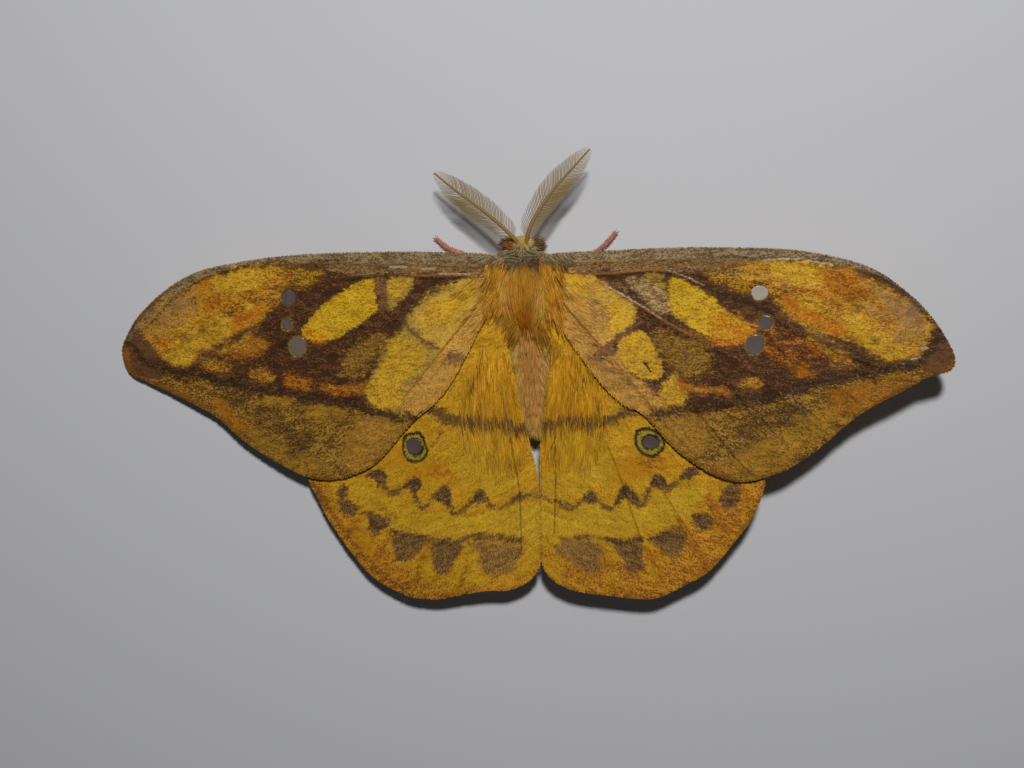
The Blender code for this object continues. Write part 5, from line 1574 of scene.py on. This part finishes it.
# y from and to, turn from and to in degrees, length, width, lift, way it lies, locks per square mm,
# pigment. Turn 90 is the middle of the back, 180 the left side.
LOCKS = {
    "thorax_collar_hair": (
        (17.7, 19.4, 92, 190, 1.9, 0.08, 0.22, (-1.0, -0.45, -0.1), 130, "fur_collar"),
        (17.7, 19.4, -10, 88, 1.9, 0.08, 0.22, (1.0, -0.45, -0.1), 130, "fur_collar"),
        (18.0, 19.5, 60, 120, 0.8, 0.09, 0.15, (0.0, -1.0, 0.0), 90, "fur_collar"),
        # The two dark patches below are painted shadow under the collar.
        (17.2, 17.7, 95, 185, 1.8, 0.09, 0.10, (-1.0, -0.35, -0.1), 110, "fur_dark"),
        (17.2, 17.7, -5, 85, 1.8, 0.09, 0.10, (1.0, -0.35, -0.1), 110, "fur_dark")),
    "thorax_shoulder_hair": (
        (13.5, 17.0, 125, 185, 3.0, 0.10, 0.16, (-0.9, -1.0, 0.05), 46, "fur_gold"),
        (13.5, 17.0, -5, 55, 3.0, 0.10, 0.16, (0.9, -1.0, 0.05), 46, "fur_gold"),
        (10.8, 17.2, 135, 185, 2.8, 0.10, 0.05, (-0.50, -1.0, -0.10), 42, "fur_gold"),
        (10.8, 17.2, -5, 45, 2.8, 0.10, 0.05, (0.45, -1.0, -0.10), 42, "fur_gold"),
        (8.2, 11.0, 100, 180, 3.2, 0.09, 0.05, (-0.34, -1.0, -0.05), 40, "fur_gold"),
        (8.2, 11.0, 0, 80, 3.2, 0.09, 0.05, (0.34, -1.0, -0.05), 40, "fur_gold"),
        (8.2, 10.0, 50, 130, 2.2, 0.09, 0.05, (0.03, -1.0, 0.0), 22, "fur_orange"),
        (8.2, 9.6, 30, 150, 2.4, 0.09, 0.05, (0.03, -1.0, 0.0), 30, "fur_peach")),
    "abdomen_side_hair": (
        (-4.5, 8.4, 125, 190, 2.0, 0.09, 0.07, (-0.20, -1.0, -0.05), 46, "fur_tan"),
        (-4.5, 8.4, -10, 55, 2.2, 0.09, 0.07, (0.30, -1.0, -0.05), 46, "fur_tan"),
        (-6.8, -4.5, 0, 180, 1.8, 0.09, 0.05, (0.05, -1.0, 0.0), 90, "fur_tan")),
    "head_tuft_hair": (
        (19.6, 20.7, 25, 150, 0.6, 0.08, 0.35, (0.0, 0.35, 0.0), 200, "fur_pale"),
        (19.3, 20.6, 125, 200, 0.9, 0.08, 0.30, (-1.0, 0.20, 0.1), 140, "fur_red"),
        (19.3, 20.6, -20, 50, 0.8, 0.09, 0.30, (1.0, -0.10, 0.1), 120, "fur_collar")),
}


def lock_roots(low, high, first, last, length, width, lift, way, density, pigment, generator):
    """Roots of one patch of locks that all lie one way."""
    first, last = math.radians(first), math.radians(last)
    wide = np.interp((low + high) / 2, body_line[:, 0], body_line[:, 3])
    count = int(density * wide * (last - first) * (high - low))
    y, turn = generator.uniform(low, high, count), generator.uniform(first, last, count)
    place, _, _, out = skin_frame(y, turn)
    clump = noise(np.column_stack([turn * 4, y * 0.6]), 0.9, 43)
    lie = np.tile(np.array(way, float), (count, 1)) + generator.normal(0, 0.09, (count, 3))
    lie[:, 0] += 0.15 * clump
    lie = unit(lie)
    rise = lift * generator.uniform(0.3, 1.6, count) - (lie * out).sum(1)
    lie += out * np.maximum(rise, 0)[:, None]
    size = (width, length, length) * generator.uniform(0.6, 1.2, (count, 1))
    return roots_of(place, lie, out, size,
                    dipped(np.tile(pigment_row(pigment), (count, 1)), clump, generator),
                    body_uv(y, turn))


for part, (low, high) in PARTS.items():
    coat = grow_coat(part + "_fur", hair, fur_finish, fur_roots(low, high, generator))
    hand_over(coat, part + "_fur")
for name, patches in LOCKS.items():
    roots = [lock_roots(*patch, generator) for patch in patches]
    merged = {label: np.concatenate([r[label] for r in roots]) for label in roots[0]}
    hand_over(grow_coat(name, hair, fur_finish, merged), name.split("_")[0] + "_fur")

# %% [markdown]
# ## Hair at the roots of the wings
#
# The wings' roots are hairy too: long golden hair lies back over the hindwings beside the abdomen,
# and shorter hair runs out over the forewings from the thorax. It takes its colours from the wing
# below it, so the marks run on through it. A fringe of fine scales edges each wing.

# %% Hair of the wing roots
# Wing, length, width, lift, locks per square mm, way it lies, corners in the photo's frame, and its
# own pigment where it isn't the wing's
ROOT_HAIR = (
    ("hindwing_left", 2.8, 0.08, 0.05, 22.0, (0.10, -1.0),
     ((478, 345), (505, 350), (522, 400), (527, 440), (512, 462), (480, 462), (458, 430), (462, 385))),
    ("hindwing_right", 2.8, 0.08, 0.05, 22.0, (-0.06, -1.0),
     ((553, 335), (585, 350), (606, 385), (606, 430), (585, 462), (552, 462), (540, 430), (546, 370))),
    ("forewing_left", 1.4, 0.08, 0.04, 22.0, (-0.9, -0.6),
     ((492, 272), (493, 335), (472, 338), (456, 312), (456, 280))),
    ("forewing_right", 1.4, 0.08, 0.04, 22.0, (0.9, -0.6),
     ((549, 272), (549, 330), (572, 340), (590, 318), (592, 280))),
    ("forewing_left", 1.0, 0.07, 0.03, 20.0, (-0.25, -1.0),
     ((498, 300), (490, 330), (462, 372), (436, 404), (424, 400), (452, 366), (478, 326), (490, 298))),
    ("forewing_right", 1.0, 0.07, 0.03, 20.0, (0.30, -1.0),
     ((542, 300), (552, 330), (582, 372), (620, 410), (632, 404), (596, 362), (564, 326),
      (552, 298))),
    ("forewing_left", 2.6, 0.09, 0.10, 50.0, (-0.30, -1.0),
     ((487, 258), (510, 255), (512, 345), (500, 340), (490, 312)), "fur_gold"),
    ("forewing_right", 2.6, 0.09, 0.10, 50.0, (0.30, -1.0),
     ((538, 255), (560, 258), (560, 305), (556, 338), (542, 345)), "fur_gold"),
    # The two short dark patches below are painted shadow under the collar, on the wing roots.
    ("forewing_left", 1.3, 0.08, 0.16, 90.0, (-0.55, -1.0),
     ((484, 256), (512, 252), (512, 262), (484, 266)), "fur_dark"),
    ("forewing_right", 1.3, 0.08, 0.16, 90.0, (0.55, -1.0),
     ((538, 252), (566, 256), (566, 266), (538, 262)), "fur_dark"),
    ("forewing_left", 1.2, 0.08, 0.22, 120.0, (-0.8, -0.7),
     ((478, 250), (512, 246), (512, 257), (480, 260)), "fur_collar"),
    ("forewing_right", 1.2, 0.08, 0.22, 120.0, (0.8, -0.7),
     ((538, 246), (570, 250), (568, 260), (538, 257)), "fur_collar"),
)
FRINGE, FRINGE_STEP = (0.34, 0.10), 0.045


def root_hair(generator, wing, length, width, lift, density, way, corners, pigment=None):
    """Roots of the hair at one wing's root."""
    patch = on_wing(wing, corners)
    low, high = patch.min(0), patch.max(0)
    spots = generator.uniform(low, high, (int(np.prod(high - low) * density), 2))
    near = np.where(inside(patch, spots), -1, 1) * gap_to(patch, spots, True)
    spots = spots[inside(outlines[wing], spots) & (generator.random(len(spots)) < 0.5 - near / 1.5)]
    level, _, out = wing_frame(wing, spots)
    turn = math.atan2(way[1], way[0]) + 0.25 * noise(spots, 1.6, 61) \
        + generator.normal(0, 0.10, len(spots))
    lie = np.column_stack([np.cos(turn), np.sin(turn), np.zeros(len(spots))])
    lie -= out * (lie * out).sum(1)[:, None]
    lie += out * (lift * generator.uniform(0.3, 1.5, len(spots)))[:, None]
    if pigment:
        rows = np.tile(pigment_row(pigment), (len(spots), 1))
    else:
        rows = paint(wing, spots + lie[:, :2] * length * 0.4)
    clump = noise(np.column_stack([spots[:, 0] * way[1] - spots[:, 1] * way[0],
                                   (spots * way).sum(1) * 0.3]), 1.5, 62)
    size = (width, length, length) * generator.uniform(0.6, 1.2, (len(spots), 1))
    return roots_of(np.column_stack([spots, level - 0.02]), lie, out, size,
                    dipped(rows, clump, generator), wing_uv(wing, spots))


def fringe_roots(wing, generator):
    """Roots of the fringe along a wing's whole rim."""
    rim = smooth_line(outlines[wing], FRINGE_STEP, closed=True)
    way = unit(np.roll(rim, -1, 0) - np.roll(rim, 1, 0))
    away = np.column_stack([way[:, 1], -way[:, 0]])
    if inside(outlines[wing], rim[:1] + away[:1] * 0.2)[0]:
        away = -away
    spots = rim - away * 0.16
    tint = one_colour(paint(wing, spots - away * 0.2), generator)
    lie = np.column_stack([away + way * generator.normal(0, 0.25, (len(rim), 1)),
                           np.full(len(rim), -0.05)])
    return roots_of(np.column_stack([spots, wing_height(wing, spots) - 0.04]), lie,
                    np.tile((0.0, 0.0, 1.0), (len(rim), 1)), np.ones((len(rim), 3)),
                    np.clip(tint, 0, 0.95), wing_uv(wing, spots))


for k, (wing, *values) in enumerate(ROOT_HAIR):
    coat = grow_coat("{}_root_hair_{}".format(wing, k), hair, down_finish,
                     root_hair(generator, wing, *values))
    hand_over(coat, kind_of(wing) + "_scales")
for wing in WINGS:
    coat = grow_coat(wing + "_fringe", scale_shape, scale_coat, fringe_roots(wing, generator),
                     *FRINGE, 1.0, 0.3)
    hand_over(coat, kind_of(wing) + "_scales")

# %% [markdown]
# ## Eyes
#
# A moth's eye is a ball of thousands of six-sided lenses, dark and glossy. Each ball is a little
# larger than its solid's facets, and its fine mesh carries a cell pattern as bump, as the lenses are
# far smaller than a pixel of the photo.

# %% Eyes
EYE_RADIUS = 1.18
BROW_HAIRS, BROW_SIZE = 900, (0.08, 0.8, 0.8)
EYES = {"left": (-1.1, 19.65, 7.5), "right": (2.3, 19.65, 7.5)}
eye_finish, nodes, links, shader = shader_of("faceted_eye")
shader.inputs["Base Color"].default_value = (0.022, 0.012, 0.009, 1)
shader.inputs["Roughness"].default_value = 0.2
shader.inputs["Coat Weight"].default_value = 0.6
lenses = nodes.new("ShaderNodeTexVoronoi")
place = nodes.new("ShaderNodeTexCoord")
links.new(place.outputs["Object"], lenses.inputs["Vector"])
lenses.inputs["Scale"].default_value = 14000.0
bumped(nodes, links, shader, lenses.outputs["Distance"], 0.6, 0.03).invert = True


def ball(name, centre, radius, finish, sides=40):
    """A closed ball of rings round the sideways axis."""
    rings = sides // 2
    points = [(centre[0] - radius, centre[1], centre[2])]
    for k in range(1, rings):
        turn = math.pi * k / rings
        for i in range(sides):
            angle = 2 * math.pi * i / sides
            out = radius * math.sin(turn)
            points.append((centre[0] - radius * math.cos(turn), centre[1] + out * math.cos(angle),
                           centre[2] + out * math.sin(angle)))
    points.append((centre[0] + radius, centre[1], centre[2]))
    return mesh_piece(name, points, tube_faces(rings - 1, sides), finish)


def tube_faces(rings, sides):
    """Faces of a tube of rings with a point at each end: start point first, end point last."""
    faces = []
    last = 1 + rings * sides
    for i in range(sides):
        j = (i + 1) % sides
        faces.append((0, 1 + j, 1 + i))
        for ring in range(rings - 1):
            a, b = 1 + ring * sides, 1 + (ring + 1) * sides
            faces.append((a + i, a + j, b + j, b + i))
        end = 1 + (rings - 1) * sides
        faces.append((last, end + i, end + j))
    return faces


def brow_roots(centre, way, pigment, generator):
    """Roots of the hair that lies over the top of an eye from the head."""
    out = unit(generator.normal(0, 1, (BROW_HAIRS, 3)))
    out = out[(out[:, 2] > 0.0) & (out[:, 0] * way > -0.5)]
    count = len(out)
    lie = np.tile((way * 0.9, 0.25, -0.1), (count, 1)) + generator.normal(0, 0.38, (count, 3))
    lie += out * (0.12 - (lie * out).sum(1)).clip(0)[:, None]
    size = BROW_SIZE * generator.uniform(0.7, 1.2, (count, 1))
    rows = np.where(out[:, 1:2] > 0.3, pigment_row("fur_dark"), pigment_row(pigment))
    return roots_of(np.array(centre) + out * (EYE_RADIUS - 0.02), lie, out, size,
                    dipped(rows, noise(out[:, :2], 3.0, 44), generator),
                    np.column_stack([0.5 + 0.4 * out[:, :2], out[:, 0] * 0]))


for side, centre in EYES.items():
    hand_over(ball("eye_" + side + "_ball", centre, EYE_RADIUS, eye_finish), "eye", "eye_" + side)
    brow = brow_roots(centre, *((-1, "fur_red") if side == "left" else (1, "fur_dark")), generator)
    hand_over(grow_coat("head_brow_" + side, hair, fur_finish, brow), "head_fur")

# %% [markdown]
# ## Antennae
#
# A male silk moth's antenna is a feather: a jointed shaft with some fifty pairs of fine rays that
# curve to the tip, each edged with hairs too small to see singly. The rays follow a path and repeat,
# so the growth tree sets them, and each ray is one curved, tapered blade.

# %% Antennae
SHAFTS = {
    "left": ((0.1, 20.1, 9.2), (-0.5, 20.9, 9.5), (-2.0, 22.4, 9.5), (-4.1, 24.1, 9.0),
             (-6.3, 25.7, 8.5), (-8.5, 27.2, 8.0), (-12.0, 29.9, 7.4)),
    "right": ((1.2, 20.1, 9.2), (1.4, 21.3, 9.5), (2.1, 23.2, 9.6), (3.5, 25.6, 9.5),
              (4.9, 27.6, 9.3), (7.2, 30.2, 9.1), (10.0, 33.3, 8.8)),
}
SHAFT_RADII = (0.30, 0.12)
RAYS, RAY_LENGTH, RAY_COLOUR = 54, 3.0, (126, 102, 38)
antenna_finish = coat_finish("antenna_straw", 0.6, 0.1, 0.8, 1.1)
shaft_finish, nodes, links, shader = shader_of("antenna_shaft")
shader.inputs["Base Color"].default_value = (*own_colour((118, 90, 40)), 1)
shader.inputs["Roughness"].default_value = 0.6


def tube(name, path, radii, sides, finish):
    """A round closed tube along a path."""
    points = [path[0]]
    for k, (centre, radius) in enumerate(zip(path, radii)):
        ahead = Vector(path[min(k + 1, len(path) - 1)] - path[max(k - 1, 0)]).normalized()
        across = ahead.cross(Vector((0, 0, 1))).normalized()
        up = across.cross(ahead)
        for i in range(sides):
            angle = 2 * math.pi * (i + 0.5) / sides
            points.append(tuple(Vector(centre) + (across * math.cos(angle) - up * math.sin(angle))
                                * radius))
    points.append(path[-1])
    return mesh_piece(name, points, tube_faces(len(path), sides), finish)


# Along, sideways bend and width of each section of a ray, before its point
RAY_SECTIONS = ((0.0, 0.0, 1.0), (0.3, 0.02, 0.95), (0.62, 0.07, 0.9), (0.88, 0.14, 0.7))
RAY_SLIMNESS = 42
ray = blade_tuft("ray_tuft", [(bend, along, wide / RAY_SLIMNESS, -0.01, 0.02)
                              for along, bend, wide in RAY_SECTIONS], (0.20, 1.0, 0.0))


def antenna_rays(side):
    """Roots of the rays of one antenna."""
    path = smooth_line(SHAFTS[side], 0.05)
    along = np.repeat((np.arange(RAYS) + 0.5) / RAYS * 0.93 + 0.06, 2)
    way = np.tile((-1.0, 1.0), RAYS)
    spot = (along * (len(path) - 2)).astype(int)
    ahead = unit(path[spot + 1] - path[spot])
    across = unit(np.cross(ahead, (0, 0, 1))) * way[:, None]
    splay = np.radians(58 - 14 * along)
    lie = ahead * np.cos(splay)[:, None] + across * np.sin(splay)[:, None]
    lie[:, 2] -= 0.12
    reach = np.interp(along, (0, 0.12, 0.3, 0.5, 0.68, 0.82, 0.92, 1),
                      (0.5, 0.72, 0.94, 1.0, 0.9, 0.66, 0.42, 0.14))
    return roots_of(path[spot], lie, np.tile((0.0, 0, 1), (len(along), 1)),
                    np.column_stack([-way * reach, reach, reach]),
                    np.tile(own_colour(RAY_COLOUR), (len(along), 1)),
                    np.column_stack([0.1 + 0.8 * along, 0.5 + 0.2 * way, along * 0]))


for side in SHAFTS:
    path = smooth_line(SHAFTS[side], 0.25)
    beads = 1 + 0.12 * np.sin(np.arange(len(path)) * math.pi * 0.9)
    stem = tube("antenna_" + side + "_shaft", path,
                np.linspace(*SHAFT_RADII, len(path)) * beads, 10, shaft_finish)
    hand_over(stem, "antenna", "antenna_" + side)
    feather = grow_coat("antenna_" + side + "_rays", ray, antenna_finish, antenna_rays(side),
                        RAY_LENGTH, RAY_LENGTH, RAY_LENGTH, 0.04)
    hand_over(feather, "antenna")

# %% [markdown]
# ## Legs
#
# The fore feet show beside the head: pink, furry and thin. Each leg is a jointed tube from hip to
# foot, with short fur over it. The mid and hind legs stand under the wings, and are made alike.
# Each foot ends in a pair of thin dark hooks that share one root, so a pair is one curved tube, drawn
# from the point of one hook to the point of the other. They are bare and shine like horn.

# %% Legs
LEGS = {
    "foreleg_left": ((-0.3, 16.9, 6.4), (-2.8, 17.2, 5.6), (-5.2, 17.5, 5.4), (-7.6, 17.3, 1.8),
                     (-9.3, 18.0, 0.28), (-11.3, 18.9, 0.28), (-12.8, 20.2, 0.28)),
    "foreleg_right": ((1.5, 16.9, 6.4), (4.0, 17.2, 5.6), (6.4, 17.5, 5.4), (8.8, 17.3, 1.8),
                      (10.6, 18.1, 0.28), (12.4, 19.6, 0.28), (13.7, 21.2, 0.28)),
    "midleg_left": ((-0.8, 14.3, 6.0), (-4.2, 14.6, 5.2), (-7.0, 13.6, 6.0), (-10.6, 10.6, 1.8),
                    (-12.8, 8.8, 0.28), (-15.0, 7.4, 0.28), (-16.8, 5.6, 0.28)),
    "midleg_right": ((1.8, 14.3, 6.0), (5.2, 14.6, 5.2), (8.0, 13.6, 6.0), (11.6, 10.6, 1.8),
                     (13.8, 8.8, 0.28), (16.0, 7.4, 0.28), (17.8, 5.6, 0.28)),
    "hindleg_left": ((-0.2, 10.6, 6.4), (-3.6, 9.0, 5.4), (-6.2, 6.0, 6.0), (-7.8, -0.6, 1.8),
                     (-8.6, -3.4, 0.28), (-9.8, -5.8, 0.28), (-10.6, -8.6, 0.28)),
    "hindleg_right": ((2.0, 10.6, 6.4), (5.6, 9.0, 5.4), (8.2, 6.0, 6.0), (10.2, -0.6, 1.8),
                      (11.2, -3.4, 0.28), (12.6, -5.8, 0.28), (13.6, -8.6, 0.28)),
}
FUZZ_SHOWN, FUZZ_HIDDEN = 3000, 1500        # hairs on a fore leg and on any other
FUZZ_COLOURS = ((188, 134, 108), (164, 108, 88))
LEG_RADII = (0.80, 0.62, 0.50, 0.40, 0.34, 0.32, 0.22)
leg_finish = coat_finish("leg_fur", 0.6, 0.15, 0.7, 1.1)
leg_skin, nodes, links, shader = shader_of("leg_skin")
shader.inputs["Base Color"].default_value = (*own_colour((150, 98, 80)), 1)
shader.inputs["Roughness"].default_value = 0.5


def leg_fuzz(name, path, generator):
    """Roots of the short fur round a leg."""
    count = FUZZ_SHOWN if name.startswith("fore") else FUZZ_HIDDEN
    along = generator.random(count)
    turn = generator.uniform(0, 2 * math.pi, count)
    spot = np.minimum((along * (len(path) - 1)).astype(int), len(path) - 2)
    centre, radius = path[spot, :3], path[spot, 3]
    ahead = unit(path[spot + 1, :3] - centre)
    across = unit(np.cross(ahead, (0, 0, 1)))
    up = np.cross(across, ahead)
    out = across * np.cos(turn)[:, None] + up * np.sin(turn)[:, None]
    place = centre + out * (radius * 0.9)[:, None]
    keep = place[:, 2] > 0.12
    lie = ahead + out * generator.uniform(0.3, 1.1, (count, 1))
    lie[:, 2] = np.where(place[:, 2] < 0.5, np.maximum(lie[:, 2], 0), lie[:, 2])
    length = np.interp(along, (0, 0.45, 0.6, 1), (0.8, 0.7, 0.5, 0.42))
    length *= generator.uniform(0.7, 1.2, count)
    light, dark = (own_colour(colour) for colour in FUZZ_COLOURS)
    roots = roots_of(place, lie, out, np.column_stack([np.full(count, 0.07), length, length]),
                     np.where(generator.random((count, 1)) < 0.5, light, dark),
                     np.column_stack([0.05 + 0.9 * turn / 7, 0.05 + 0.9 * along, along * 0]))
    return {label: values[keep] for label, values in roots.items()}


claw_horn, nodes, links, shader = shader_of("claw_horn")
shader.inputs["Base Color"].default_value = (*own_colour((62, 38, 26)), 1)
shader.inputs["Roughness"].default_value = 0.25


def claw_pair(name, path):
    """The two hooks at the end of a foot."""
    ahead = (path[-1, :3] - path[-4, :3]) * (1, 1, 0)
    ahead /= np.linalg.norm(ahead)
    aside = np.cross(ahead, (0, 0, 1))
    way = np.linspace(-1, 1, 17)
    along = abs(way)
    line = path[-1, :3] * (1, 1, 0) + np.outer(0.55 * along - 0.1, ahead)
    line += np.outer(0.26 * np.sign(way) * along ** 0.6, aside)
    line[:, 2] = 0.22 + 0.1 * np.sin(math.pi * along) - 0.17 * along ** 2
    return tube(name, line, 0.065 - 0.053 * along, 8, claw_horn)


for name, points in LEGS.items():
    path = smooth_line([(*p, r) for p, r in zip(points, LEG_RADII)], 0.35)
    joints = 1 + 0.12 * np.cos(np.arange(len(path)) * 2 * math.pi / 4)
    leg = tube(name + "_skin", path[:, :3], path[:, 3] * joints, 10, leg_skin)
    for vertex in leg.data.vertices:
        vertex.co.z = max(vertex.co.z, 0.0)
    hand_over(leg, "leg_fur", name)
    hand_over(claw_pair(name + "_claws", path), "leg_fur")
    hand_over(grow_coat(name + "_fur", hair, leg_finish, leg_fuzz(name, path, generator)), "leg_fur")

# %% [markdown]
# ## The repeated shapes
#
# The small shapes that were repeated are no pieces of their own, so they go.

# %% Finish
for shape in (hair, scale_shape, ray):
    bpy.data.objects.remove(shape)
